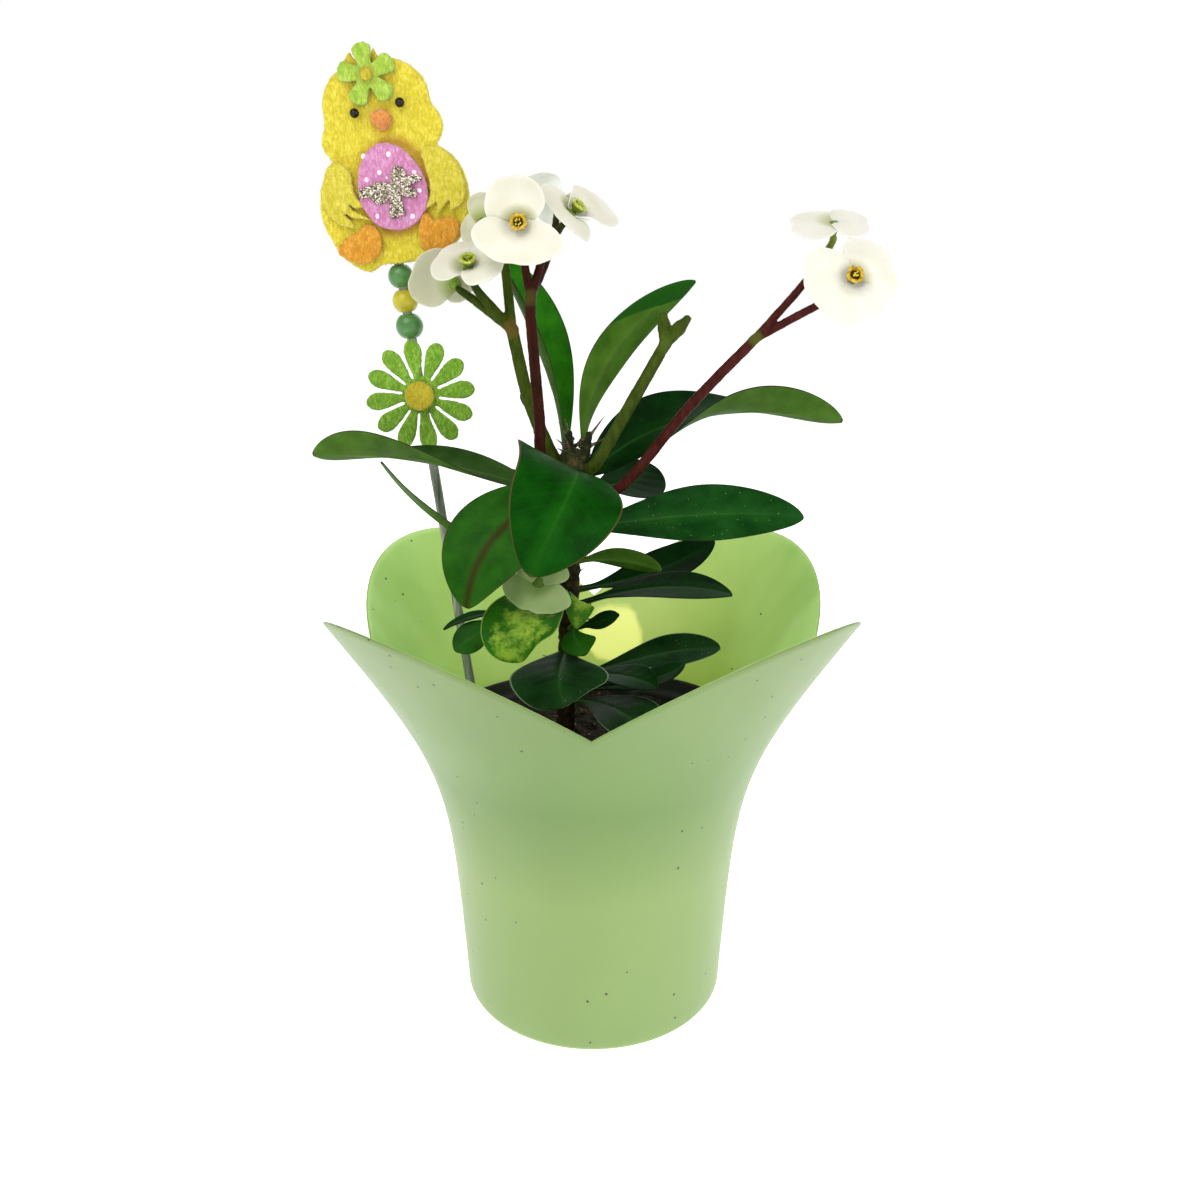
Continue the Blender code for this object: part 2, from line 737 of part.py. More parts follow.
# Blooms: centre, the way each one looks, and its two bracts (length, half width, roll). A bloom
# that grows straight from the stem has a pedicel: the height of its foot and a bend on the way.
BLOOMS = {
    "bloom_front": dict(
        centre=(-20, -12, 245),
        facing=(-0.05, -0.95, 0.25),
        bracts=(
            dict(length=14.4, half=8.4, roll=13, belly=0.42, wrap=(112, 112)),
            dict(length=11.4, half=13.6, roll=172, belly=0.12, lift=1.3, wrap=(96, 128)),
        ),
        glands=True,
    ),
    "bloom_left": dict(
        centre=(-35, -3, 234),
        facing=(-0.1, -0.65, 0.75),
        bracts=(
            dict(length=12.0, half=9.0, roll=66, belly=0.3, cup=2.8, wrap=(108, 112)),
            dict(length=11.0, half=9.2, roll=-98, belly=0.25, lift=1.3, cup=2.8),
        ),
        glands=True,
    ),
    "bloom_left_back": dict(
        centre=(-41.5, 12, 230),
        facing=(-0.35, 0.8, 0.3),
        bracts=(
            dict(length=14.5, half=9.0, roll=-78, belly=0.42),
            dict(length=7.0, half=5.6, roll=120, belly=0.3, lift=1.1),
        ),
    ),
    "bloom_top_right": dict(
        centre=(-6, 1, 249),
        facing=(0.62, -0.38, 0.68),
        bracts=(
            dict(length=11.0, half=11.0, roll=88, belly=0.15),
            dict(length=15.5, half=8.0, roll=-98, belly=0.4, lift=1.1, cup=3.5, recurve=0.0),
        ),
        glands=True,
    ),
    "bloom_top_back": dict(
        centre=(-10, 15, 254),
        facing=(0.1, 0.62, 0.75),
        bracts=(
            dict(length=12.0, half=9.5, roll=165, belly=0.3),
            dict(length=12.5, half=8.0, roll=-80, belly=0.35, lift=1.1),
        ),
    ),
    "bloom_right_top": dict(
        centre=(68, -6, 246),
        facing=(0.0, -0.42, 0.91),
        bracts=(
            dict(length=12.5, half=10.5, roll=85, belly=0.28, cup=1.2),
            dict(length=9.8, half=10.5, roll=-95, belly=0.15, lift=1.1, cup=1.2),
        ),
    ),
    "bloom_right_front": dict(
        centre=(70.5, -20, 230.5),
        facing=(0.1, -0.9, 0.4),
        bracts=(
            dict(length=13.2, half=11.5, roll=-75, belly=0.15, wrap=(100, 100)),
            dict(length=14.0, half=13.6, roll=128, belly=0.08, lift=1.3, wrap=(128, 118)),
        ),
        glands=True,
    ),
    "bloom_behind": dict(
        centre=(-32, 8, 247),
        facing=(0.15, 0.9, 0.3),
        bracts=(
            dict(length=9.0, half=6.5, roll=25, belly=0.35),
            dict(length=9.5, half=5.5, roll=-140, belly=0.35, lift=1.2),
        ),
    ),
    "bloom_low": dict(
        centre=(-16, -14, 144),
        facing=(-0.1, -0.8, 0.55),
        bracts=(
            dict(length=9.8, half=11.5, roll=165, belly=0.12, cup=1.5),
            dict(length=9.0, half=8.5, roll=-10, belly=0.3, lift=1.1, cup=1.5),
        ),
        kind="pale_bract",
        pedicel=(145, (-12.5, -6.5, 144.5)),
    ),
}


def bloom_neck(bloom):
    """Where a stalk meets the back of a bloom."""
    facing = Vector(bloom["facing"]).normalized()
    return Vector(bloom["centre"]) - facing * (BLOOM_NECK + GAP)


def make_bloom(name, bloom):
    kind = bloom.get("kind", "bract")
    centre, facing = Vector(bloom["centre"]), Vector(bloom["facing"]).normalized()
    thin, wide = BLOOM_NECK_RADII
    back, front = centre - facing * BLOOM_NECK, centre + facing * BLOOM_NECK_TOP
    neck = cone_between(name + "_bracts", back, front, thin, wide, kind, 8)
    around, along = BRACT_STEPS if bloom.get("glands") else BRACT_FEW_STEPS
    blades = []
    for bract in bloom["bracts"]:
        blade = sheet(
            "bract",
            lambda u, v: bract_point(bloom, bract, u, v),
            around,
            along,
            BRACT_THICKNESS,
            kind,
        )
        blades.append(settle(blade))
    if "pedicel" in bloom:
        height, knee = bloom["pedicel"]
        end = centre - facing * (BLOOM_NECK - NECK_OVERLAP)
        route = (stem_side(height, knee), Vector(knee), end)
        blades.append(tube("pedicel", route, PEDICEL_RADII, kind))
    fuse(neck, blades)
    if bloom.get("glands"):
        make_glands(name + "_glands", front + facing * (GLAND_SEAT + GAP), facing)


def make_glands(name, foot, facing):
    """The little cup in the middle of a bloom, with five glands round it."""
    top = foot + facing * GLAND_CUP
    cup = cone_between(name, foot, top, *GLAND_RADII, "gland", 6)
    lobes = []
    start = facing.orthogonal().normalized()
    for i in range(GLAND_LOBES):
        out = Matrix.Rotation(math.tau * i / GLAND_LOBES, 3, facing) @ start
        lobes.append(ball("lobe", top + out * GLAND_RING, GLAND_LOBE, "gland", 6, 4))
    return fuse(cup, lobes)


# How far behind a bloom's neck its branch bends in line with it, a branch's radius as a part
# of its stalk's and at its end, how much a fork swells, and how far out a stalk's foot stands.
STALK_BEND = 2.5
BRANCH_PART = 0.8
BRANCH_END = (0.9, 0.9)
NODE_SWELL = 1.15
STALK_OUT = 0.75

# Flower stalks: rise from the crown to a fork, and branches on to each bloom.
STALKS = {
    "stalk_front": dict(
        kind="red_stalk",
        height=175,
        radius=1.6,
        route=((-15, -9, 181), (-15.5, -9, 192), (-17.5, -8, 219), (-17.5, -8, 226)),
        branches=(
            ((-19, -8.5, 235), "bloom_front"),
            ((-14, -5, 237), "bloom_top_right"),
            ((-12, 3, 240), "bloom_top_back"),
        ),
    ),
    "stalk_left": dict(
        kind="green_stalk",
        height=176,
        radius=1.9,
        route=((-14, 3, 183), (-19.5, 3, 197), (-24, 4, 217)),
        branches=(
            ((-33, 3, 227), "bloom_left"),
            ((-35.5, 7, 225.5), "bloom_left_back"),
            ((-27, 8, 241), "bloom_behind"),
        ),
    ),
    "stalk_right": dict(
        kind="red_stalk",
        height=172,
        out=0.3,
        radius=1.5,
        route=((8, -11, 172), (28, -13, 196), (46, -14, 215)),
        branches=(
            ((59, -14, 230), "bloom_right_top"),
            ((62, -18, 224), "bloom_right_front"),
        ),
    ),
    "stalk_buds": dict(
        kind="green_stalk",
        height=176,
        radius=1.8,
        route=((2, -6, 180), (13, -6, 199), (21, -6, 213)),
        branches=(),
    ),
}
FLOWER_BUDS = (
    ((21, -6, 213), (20.5, -6, 222), 1.8),
    ((21, -6, 213), (28, -6, 221), 1.8),
)


def make_stalk(name, stalk):
    radius, kind = stalk["radius"], stalk["kind"]
    route = [Vector(point) for point in stalk["route"]]
    root = stem_side(stalk["height"], route[0], stalk.get("out", radius * STALK_OUT))
    path = smooth_path([root, *route], 2)
    main = tube(name, path, [radius] * len(path), kind)
    grown = []
    for knee, bloom in stalk["branches"]:
        end = bloom_neck(BLOOMS[bloom])
        thin = radius * BRANCH_PART
        facing = Vector(BLOOMS[bloom]["facing"]).normalized()
        bend_in = end - facing * STALK_BEND
        way = (route[-1], knee, bend_in, end)
        grown.append(tube("branch", way, (thin, thin, *BRANCH_END), kind))
    grown.append(ball("node", route[-1], radius * NODE_SWELL, kind, 8, 5))
    if name == "stalk_buds":
        for foot, tip, thick in FLOWER_BUDS:
            grown.append(cone_between("bud", foot, tip, thick, thick * 0.8, kind))
    return fuse(main, grown)


def flat_shape(name, outline, centre, back, thickness, kind, corners=(), steps=3, size=1.0):
    """A felt cut-out that faces -Y: its (x, z) outline is smooth but for the corners."""
    data = bpy.data.curves.new(name, "CURVE")
    data.dimensions = "2D"
    data.fill_mode = "BOTH"
    data.extrude = thickness / 2 * MM
    data.resolution_u = steps
    line = data.splines.new("BEZIER")
    line.use_cyclic_u = True
    line.bezier_points.add(len(outline) - 1)
    for i, (slot, (x, z)) in enumerate(zip(line.bezier_points, outline)):
        slot.co = Vector((x, z, 0)) * size * MM
        handle = "VECTOR" if i in corners else "AUTO"
        slot.handle_left_type = handle
        slot.handle_right_type = handle
    obj = add_object(name, data, kind)
    obj.rotation_euler = (math.pi / 2, 0, 0)
    obj.location = Vector((centre.x, back - thickness / 2, centre.z)) * MM
    return obj


# How far along a felt petal it is widest, as a part of where its round end begins.
PETAL_SHOULDER = 0.9


def petal_ring(count, inner, reach, width, start):
    """Outline of a flower cut from felt: count round-ended petals round a middle."""
    outline = []
    for i in range(count):
        angle = math.radians(start) + math.tau * i / count
        out = Vector((math.cos(angle), math.sin(angle)))
        side = Vector((-out.y, out.x))
        valley = Matrix.Rotation(-math.pi / count, 2) @ out * inner
        swell = reach - width / 2
        outline.append(valley)
        outline.append(out * swell * PETAL_SHOULDER - side * width / 2)
        outline.append(out * reach)
        outline.append(out * swell * PETAL_SHOULDER + side * width / 2)
    return [tuple(point) for point in outline]


CHICK_OUTLINE = (
    (0.8, 29.8), (4.3, 29.5), (8.2, 28.3), (12.5, 25.6), (14.8, 22.0), (16.0, 17.4), (18.6, 13.8),
    (19.1, 10.0), (17.0, 5.6), (21.8, 2.5), (24.6, -0.8), (26.2, -6.0), (26.4, -12.0),
    (24.0, -20.5), (18.8, -25.0), (12.8, -27.2), (3.0, -28.9), (-1.2, -29.4), (-4.6, -31.3),
    (-9.5, -29.8), (-14.4, -25.0), (-18.2, -17.6), (-19.0, -11.5), (-17.8, -5.0), (-14.4, 0.6),
    (-17.4, 5.0), (-16.2, 11.4), (-16.5, 16.5), (-14.6, 22.6), (-10.6, 26.6), (-8.9, 29.0),
    (-7.7, 30.8), (-6.3, 29.0), (-1.9, 29.8), (-0.4, 31.8),
)
CHICK_CORNERS = (8, 24, 31, 34)
LEFT_WING = (
    (-14.1, -0.2), (-11.5, -0.9), (-9.4, -2.9), (-8.8, -6.6), (-7.8, -9.9), (-5.6, -12.6),
    (-8.4, -13.4), (-4.2, -16.2), (-9.6, -16.2), (-9.0, -18.6), (-13.4, -17.4), (-17.4, -12.5),
    (-17.4, -6.5),
)
LEFT_WING_CORNERS = (5, 6, 7, 8, 9)
RIGHT_WING = (
    (16.6, 4.6), (20.4, 3.0), (24.0, -1.2), (25.4, -6.0), (25.2, -10.6), (21.4, -13.6),
    (20.8, -10.6), (17.2, -14.4), (16.8, -11.4), (13.8, -12.8), (15.3, -9.4), (15.4, -6.0),
    (14.2, -1.0), (13.6, 3.6),
)
RIGHT_WING_CORNERS = (5, 6, 7, 8, 9)
LEFT_FOOT = (
    (-14.0, -25.4), (-11.2, -22.2), (-7.8, -20.2), (-4.4, -18.0), (-1.4, -20.2), (-0.7, -23.4),
    (-2.2, -27.0), (-6.6, -29.0), (-11.8, -27.8),
)
RIGHT_FOOT = (
    (13.4, -14.6), (15.6, -16.8), (19.0, -16.0), (22.6, -16.2), (23.4, -20.0), (19.8, -24.2),
    (13.8, -25.6), (11.6, -21.6), (11.9, -17.4),
)
BEAK = ((-2.2, 12.4), (-0.6, 14.4), (2.4, 14.8), (4.3, 13.0), (3.6, 10.2), (1.9, 8.7), (-0.6, 10.4))
BOW = (
    (-6.4, -8.7), (-2.9, -6.7), (-0.1, -5.8), (3.6, -6.2), (3.9, -3.2), (5.6, -1.2), (7.8, -2.3),
    (8.3, -4.5), (11.1, -3.5), (12.9, -4.5), (12.0, -5.4), (7.6, -7.0), (11.2, -7.6), (11.1, -9.9),
    (7.7, -9.7), (6.2, -9.0), (7.6, -15.1), (5.7, -15.1), (4.2, -16.0), (2.6, -15.1), (3.4, -9.7),
    (0.5, -11.8), (-1.6, -11.5), (-3.1, -9.9), (-5.9, -9.9),
)
BOW_CORNERS = (3, 7, 10, 11, 12, 13, 14, 15, 16, 17, 19, 20, 23)
EGG_CENTRE = (3.5, -6.8)
EGG_HALF_WIDTH = 10.2
EGG_HALF_HEIGHT = 12.4
EGG_TILT = 15.0
EGG_FULLNESS = 0.12
EGG_POINTS = 12
EYES = {"left": (-6.6, 13.9), "right": (7.2, 16.9)}
EYE_RADIUS = 1.4
HEAD_FLOWER = (-2.3, 24.5)
HEAD_PETALS = dict(count=5, inner=2.3, reach=8.4, width=5.2, start=101)
HEAD_CENTRE_RADIUS = 1.5
HEAD_CENTRE_FELT = 0.8
BOW_THICKNESS = 0.8


def egg_outline():
    """An oval that is fuller at its lower end, leaning to the left."""
    tilt = Matrix.Rotation(math.radians(EGG_TILT), 2)
    outline = []
    for i in range(EGG_POINTS):
        angle = math.tau * i / EGG_POINTS
        taper = 1 - EGG_FULLNESS * math.sin(angle)
        oval = Vector((EGG_HALF_WIDTH * taper * math.cos(angle), EGG_HALF_HEIGHT * math.sin(angle)))
        turned = tilt @ oval
        outline.append((turned.x + EGG_CENTRE[0], turned.y + EGG_CENTRE[1]))
    return outline


def make_chick():
    front = FELT_BACK - BODY_FELT - GAP
    trim = [
        ("chick_wing_left", LEFT_WING, TRIM_FELT, "yellow_felt", LEFT_WING_CORNERS),
        ("chick_wing_right", RIGHT_WING, TRIM_FELT, "yellow_felt", RIGHT_WING_CORNERS),
        ("chick_foot_left", LEFT_FOOT, TRIM_FELT, "orange_felt", ()),
        ("chick_foot_right", RIGHT_FOOT, TRIM_FELT, "orange_felt", (1,)),
        ("chick_beak", BEAK, TRIM_FELT, "orange_felt", (4,)),
        ("egg", egg_outline(), EGG_FELT, "pink_felt", ()),
    ]
    where, size, skin = CHICK_CENTRE, CHICK_SIZE, "yellow_felt"
    flat_shape(
        "chick_body", CHICK_OUTLINE, where, FELT_BACK, BODY_FELT, skin, CHICK_CORNERS, 2, size
    )
    for name, outline, thickness, kind, corners in trim:
        flat_shape(name, outline, where, front, thickness, kind, corners, 2, size)
    bow_back = front - EGG_FELT - GAP
    flat_shape("bow", BOW, where, bow_back, BOW_THICKNESS, "glitter", BOW_CORNERS, 1, size)
    x, z = HEAD_FLOWER
    centre = where + Vector((x, 0, z)) * size
    flat_shape("head_flower", petal_ring(**HEAD_PETALS), centre, front, TRIM_FELT, "green_felt")
    middle_back = front - TRIM_FELT - GAP
    disc("head_flower_centre", centre, middle_back, HEAD_CENTRE_RADIUS, HEAD_CENTRE_FELT, skin)
    for side, (x, z) in EYES.items():
        place = where + Vector((x, 0, z)) * size
        place.y = front - EYE_RADIUS
        ball("chick_eye_" + side, place, EYE_RADIUS, "bead_black", 8, 6)


def disc(name, centre, back, radius, thickness, kind, sides=16):
    start = Vector((centre.x, back, centre.z))
    return cone_between(name, start, start - Vector((0, thickness, 0)), radius, radius, kind, sides)


DAISY_PETALS = dict(count=12, inner=6.4, reach=17.0, width=6.2, start=98)
DAISY_MIDDLE_RADIUS = 4.3
DAISY_MIDDLE_FELT = 1.8


def make_daisy():
    outline = petal_ring(**DAISY_PETALS)
    flat_shape(
        "daisy_petals", outline, DAISY_CENTRE, FELT_BACK, TRIM_FELT, "green_felt", steps=2
    )
    middle_back, radius = FELT_BACK - TRIM_FELT - GAP, DAISY_MIDDLE_RADIUS
    disc("daisy_centre", DAISY_CENTRE, middle_back, radius, DAISY_MIDDLE_FELT, "yellow_felt")


# Beads threaded on the stick: name, height of the middle, radius and finish.
BEADS = (
    ("bead_lower", 217.6, 4.2, "green_bead"),
    ("bead_middle", 225.1, 3.9, "yellow_bead"),
    ("bead_upper", 232.4, 3.9, "green_bead"),
)


def stick_at(height):
    part = (height - PICK_FOOT.z) / (PICK_TOP.z - PICK_FOOT.z)
    return PICK_FOOT.lerp(PICK_TOP, part)


def make_stick_and_beads():
    cone_between("pick_stick", PICK_FOOT, PICK_TOP, STICK_RADIUS, STICK_RADIUS, "stick_wood", 10)
    lean = (PICK_TOP - PICK_FOOT).normalized()
    for name, height, radius, kind in BEADS:
        centre = stick_at(height)
        bead = ball(name, centre, radius, kind, 12, 8)
        start, end = centre - lean * 8, centre + lean * 8
        bore = cone_between("bore", start, end, STICK_RADIUS + GAP, STICK_RADIUS + GAP, kind, 10)
        fuse(bead, [bore], "DIFFERENCE")


def main():
    make_cover()
    make_nursery_pot()
    make_soil()
    make_stem()
    for name, leaf in LEAVES.items():
        make_leaf(name, leaf)
    for name, shoot in SHOOTS.items():
        make_shoot(name, shoot)
    for name, bloom in BLOOMS.items():
        make_bloom(name, bloom)
    for name, stalk in STALKS.items():
        make_stalk(name, stalk)
    make_stick_and_beads()
    make_daisy()
    make_chick()


main()
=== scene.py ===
"""Looks of the potted euphorbia: cover pot, soil, leaves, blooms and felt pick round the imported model.

Lengths are in millimetres and are scaled to metres where a mesh is made.
The origin is the middle of the cover pot's flat underside, +Z is up and the front is -Y.
"""
import math
import random
from functools import partial

import bmesh
import bpy
from mathutils import Matrix, Vector, noise


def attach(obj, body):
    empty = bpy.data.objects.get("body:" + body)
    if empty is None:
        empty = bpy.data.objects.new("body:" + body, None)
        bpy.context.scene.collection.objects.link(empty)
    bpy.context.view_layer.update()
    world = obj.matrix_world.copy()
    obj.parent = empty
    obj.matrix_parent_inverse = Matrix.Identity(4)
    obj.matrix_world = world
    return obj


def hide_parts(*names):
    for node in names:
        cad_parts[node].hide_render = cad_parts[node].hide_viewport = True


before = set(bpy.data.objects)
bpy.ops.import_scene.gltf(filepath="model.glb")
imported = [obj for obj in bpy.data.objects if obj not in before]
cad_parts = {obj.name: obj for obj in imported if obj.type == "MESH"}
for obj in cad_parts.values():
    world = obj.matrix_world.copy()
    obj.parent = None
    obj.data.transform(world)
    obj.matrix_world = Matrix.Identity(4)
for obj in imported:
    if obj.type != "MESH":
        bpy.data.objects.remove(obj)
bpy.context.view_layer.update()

MM = 0.001

# Camera: where it stands, its pitch below level, its focal length and the sensor that goes with it.
CAMERA_PLACE = (2.2, -320.0, 226.1)
CAMERA_PITCH = 16.0
CAMERA_LENS = 31.64
CAMERA_SENSOR = 36.0

# Clearance between touching pieces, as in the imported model.
GAP = 0.35

# Cover pot: a shallow cone that flares smoothly into four rounded petals.
COVER_BASE_RADIUS = 43.0
COVER_WALL = 0.8
COVER_TAPER = 0.055
COVER_FLARE_HEIGHT = 84.0
COVER_FLARE_SLOPE = 0.62
COVER_FLARE_SOFTNESS = 14.0
COVER_NOTCH_HEIGHT = 116.0
COVER_PETAL_RISE = 27.5
COVER_FOOT_ROUND = 2.2
COVER_FLOOR_RINGS = (12.0, 26.0, 36.0)
COVER_CROWDING = 0.85
COVER_AROUND = 240
COVER_UP = 56

# Nursery pot and soil.
POT_RIM_RADIUS = 52.5
POT_RIM_TOP = 92.0
POT_RIM_BAND = 6.0
POT_SHOULDER_RADIUS = 49.0
POT_FOOT_RADIUS = 38.0
POT_WALL = 1.2
POT_FLOOR = COVER_WALL + GAP
POT_AROUND = 144
DRAIN_RADIUS = 3.5
DRAIN_RING = 22.0
DRAIN_HOLES = 4
SOIL_TOP = 85.0
SOIL_RINGS = 70
SOIL_AROUND = 200

# Main stem from its foot in the soil up to the crown: height, x, y and radius.
STEM = (
    (65.0, -9.5, 8.0, 2.8),
    (85.0, -9.5, 8.0, 3.0),
    (119.0, -8.0, 5.0, 3.2),
    (147.0, -7.5, 2.0, 3.4),
    (163.0, -6.0, 0.5, 4.2),
    (170.0, -5.5, 0.0, 5.6),
    (177.0, -5.5, 0.0, 5.6),
    (181.0, -5.5, 0.0, 3.6),
)

# Pick: where its stick enters the soil, where it ends behind the chick, and its felt layers.
PICK_FOOT = Vector((-37.5, 18.0, 65.0))
PICK_TOP = Vector((-62.5, 18.0, 262.0))
STICK_RADIUS = 1.5
FELT_BACK = PICK_FOOT.y - STICK_RADIUS - GAP
BODY_FELT = 2.4
TRIM_FELT = 1.6
EGG_FELT = 2.0
BOW_SHEET = 0.8
CHICK_CENTRE = Vector((-62.5, 0.0, 264.0))
CHICK_SIZE = 0.96
DAISY_CENTRE = Vector((-54.0, 0.0, 196.6))

# Felt: how far its loose fibres lean over, from upright to flat.
FIBRE_LEAN = 0.75

# Leaf side veins: how far along they run for each millimetre outward, and the step between them.
VEIN_SLANT = 0.75
VEIN_STEP = 4.2

# Bracts: how far from its bloom's middle one starts, the angle where its ears begin to narrow,
# over how many degrees and how much, how far out its funnel reaches, its least length, the usual
# shape of one, and how much of its lift it already has at its start.
BRACT_CLAW = 1.0
BRACT_EAR = 70.0
BRACT_EAR_FADE = 50.0
BRACT_EAR_LOSS = 0.72
BRACT_FUNNEL = 5.5
BRACT_LEAST = 1.5
BRACT_BELLY = 0.35
BRACT_WRAP = (112, 112)
BRACT_CUP = 2.5
BRACT_RECURVE = 2.0
CLAW_LIFT = 0.45

# A bloom's neck: how far it reaches behind the middle, its radii from back to front, and how far
# it stands past the middle.
BLOOM_NECK = 3.0
NECK_RADII = (1.05, 1.2, 1.9, 2.1)
BLOOM_NECK_TOP = 0.5


# Finishes.


def linear(code):
    """Linear colour of an sRGB hex value."""
    channels = [int(code[i : i + 2], 16) / 255 for i in (1, 3, 5)]
    return (*(c / 12.92 if c <= 0.04045 else ((c + 0.055) / 1.055) ** 2.4 for c in channels), 1.0)


def per(size):
    """Texture scale whose features are about size millimetres across."""
    return 1 / (size * MM)


def add(tree, kind, ins=None, stops=(), **settings):
    """Add a shader node: ins gives each socket's value or what feeds it, stops a ramp's colours."""
    made = tree.nodes.new("ShaderNode" + kind)
    for key, value in settings.items():
        setattr(made, key, value)
    for key, value in (ins or {}).items():
        if isinstance(value, bpy.types.Node):
            value = value.outputs[0]
        if isinstance(value, bpy.types.NodeSocket):
            tree.links.new(value, made.inputs[key])
        else:
            made.inputs[key].default_value = value
    for i, (place, code) in enumerate(stops):
        if i > 1:
            made.color_ramp.elements.new(1.0)
        made.color_ramp.elements[i].position = place
        made.color_ramp.elements[i].color = linear(code)
    return made


def new_material(name, constants):
    """A material and its shader, with the constants set on the shader's own sockets."""
    made = bpy.data.materials.new(name)
    made.use_nodes = True
    shader = made.node_tree.nodes["Principled BSDF"]
    for key, value in constants.items():
        shader.inputs[key].default_value = value
    return made, shader


class Finish:
    """A material that is being made, with short ways to add the nodes that its looks need."""

    def __init__(self, name, constants):
        self.made, self.shader = new_material(name, constants)
        self.tree = self.made.node_tree
        self.place = self.add("TexCoord").outputs["Object"]

    def add(self, kind, ins=None, stops=(), **settings):
        return add(self.tree, kind, ins, stops, **settings)

    def noise(self, size, detail=2.0, vector=None, roughness=0.5, distortion=0.0):
        """Noise with features of about size millimetres."""
        return self.add("TexNoise", {
            "Vector": vector or self.place, "Scale": per(size), "Detail": detail, "Roughness": roughness,
            "Distortion": distortion,
        })

    def cells(self, size, **settings):
        return self.add("TexVoronoi", {"Vector": self.place, "Scale": per(size)}, **settings)

    def stretched(self, *scale, turn=0.0):
        """Places scaled along each axis, turned about Y."""
        return self.add("Mapping", {"Vector": self.place, "Rotation": (0.0, turn, 0.0), "Scale": scale})

    def ramp(self, source, *stops):
        return self.add("ValToRGB", {0: source}, stops)

    def span(self, source, low=0.0, high=1.0, start=0.0, end=1.0):
        """The range from low to high becomes start to end."""
        return self.add("MapRange", {0: source, 1: low, 2: high, 3: start, 4: end})

    def math(self, operation, *values):
        return self.add("Math", dict(enumerate(values)), operation=operation)

    def mix(self, share, one, two, **settings):
        """Colour one, and as much of colour two, a node or a hex value, as share says."""
        two = linear(two) if isinstance(two, str) else two
        return self.add("MixRGB", {0: share, 1: one, 2: two}, **settings)

    def kept(self, name, output="Vector"):
        """Numbers that the mesh keeps on its points."""
        return self.add("Attribute", attribute_name=name).outputs[output]

    def split(self, vector):
        """The three numbers of a vector."""
        return self.add("SeparateXYZ", {0: vector}).outputs

    def link(self, node, socket):
        self.tree.links.new(node.outputs[0], self.shader.inputs[socket])

    def feed(self, colour, rough, height, depth, strength):
        """Link colour, any roughness and a bump of depth millimetres; gives the finished material."""
        self.link(colour, "Base Color")
        if rough:
            self.link(rough, "Roughness")
        bump = self.add("Bump", {"Height": height, "Distance": depth * MM, "Strength": strength})
        self.link(bump, "Normal")
        return self.made


# Middle of the painted glow on the cover's inside, light from behind drawn as colour and emission, in
# millimetres.
GLOW_PLACE = (7, 60, 105)


def cover_finish():
    """Polypropylene, drawn thin in a mould: satin, a little see-through, with soft uneven tone and painted
    shade by height, pale low on the wall and darker from the flare up through the petals.

    Its inside is painted lighter, as if lit through the wall, with a painted glow patch that also emits
    light; a few specks of peat dust stick to it.
    """
    it = Finish("thermoformed_polypropylene", {
        "IOR": 1.49, "Subsurface Weight": 0.4, "Subsurface Scale": 0.003,
        "Subsurface Radius": (1.0, 1.0, 0.5), "Specular IOR Level": 0.55,
        "Emission Color": linear("#F0FF8C"),
    })
    cloud = it.noise(60, vector=it.stretched(1, 1, 0.45))
    shade = it.ramp(cloud, (0.3, "#829A58"), (0.7, "#8DA663"))
    rise = it.span(it.split(it.place)["Z"], 0.0, 0.14)
    # Painted shade by height: the outside is left pale low down and darkened from the flare up through the
    # petals.
    band = it.ramp(
        rise, (0.0, "#F4F8F2"), (0.37, "#FAFCF6"), (0.62, "#C8D8BC"), (0.72, "#CCDAC4"), (0.95, "#D2D8D0")
    )
    outside = it.mix(1.0, shade, band, blend_type="MULTIPLY")
    tall = it.stretched(1, 1, 0.2)
    # Painted light: the inside is a lighter yellow-green than the outside, as if lit through the wall.
    lit_inside = it.ramp(it.noise(16, 1.0, tall), (0.35, "#A2CC70"), (0.65, "#B2DA86"))
    # Painted glow: a soft pale patch on the inside round GLOW_PLACE, whose hot core also emits light.
    glow = [MM * v for v in GLOW_PLACE]
    spot = it.add("VectorMath", {0: it.place, 1: glow}, operation="DISTANCE").outputs["Value"]
    uneven = it.math("MULTIPLY_ADD", it.noise(12), 9 * MM, spot)
    painted_glow = it.mix(it.span(uneven, 84 * MM, 18 * MM, 0.0, 0.95), lit_inside, "#D4F49A")
    glow_core = it.span(uneven, 17.0 * MM, 14.5 * MM)
    inside = it.kept("inside", "Fac")
    both = it.mix(inside, outside, it.mix(glow_core, painted_glow, "#FAFFA8"))
    it.link(it.math("MULTIPLY", it.math("MULTIPLY", glow_core, inside), 0.35), "Emission Strength")
    cells = it.cells(5.5)
    rare = it.math("GREATER_THAN", it.add("SeparateColor", {0: cells.outputs["Color"]}), 0.6)
    speck = it.math("LESS_THAN", cells.outputs["Distance"], 0.085)
    colour = it.mix(it.math("MULTIPLY", rare, speck), both, "#3C452C")
    rough = it.span(it.noise(11, 3.0, tall), 0.0, 1.0, 0.32, 0.46)
    return it.feed(colour, rough, cloud, 0.4, 0.5)


def pot_finish():
    """Recycled black polypropylene, injection moulded: fine moulding grain and dusty scuffs."""
    it = Finish("moulded_black_polypropylene", {"IOR": 1.49})
    dirt = it.noise(7, 5.0)
    colour = it.ramp(dirt, (0.45, "#151615"), (0.62, "#272826"), (0.75, "#4A463C"))
    return it.feed(colour, it.span(dirt, 0.0, 1.0, 0.35, 0.75), it.noise(0.5), 0.05, 0.5)


def peat_finish():
    """Damp sphagnum peat: near black, crumbly, with brown fibres."""
    it = Finish("damp_peat", {"Roughness": 0.85, "IOR": 1.4})
    crumb = it.noise(2.2, 6.0, roughness=0.7)
    colour = it.ramp(crumb, (0.35, "#0C0805"), (0.52, "#20150D"), (0.64, "#3B2818"), (0.75, "#6B5138"))
    return it.feed(colour, None, crumb, 0.6, 0.9)


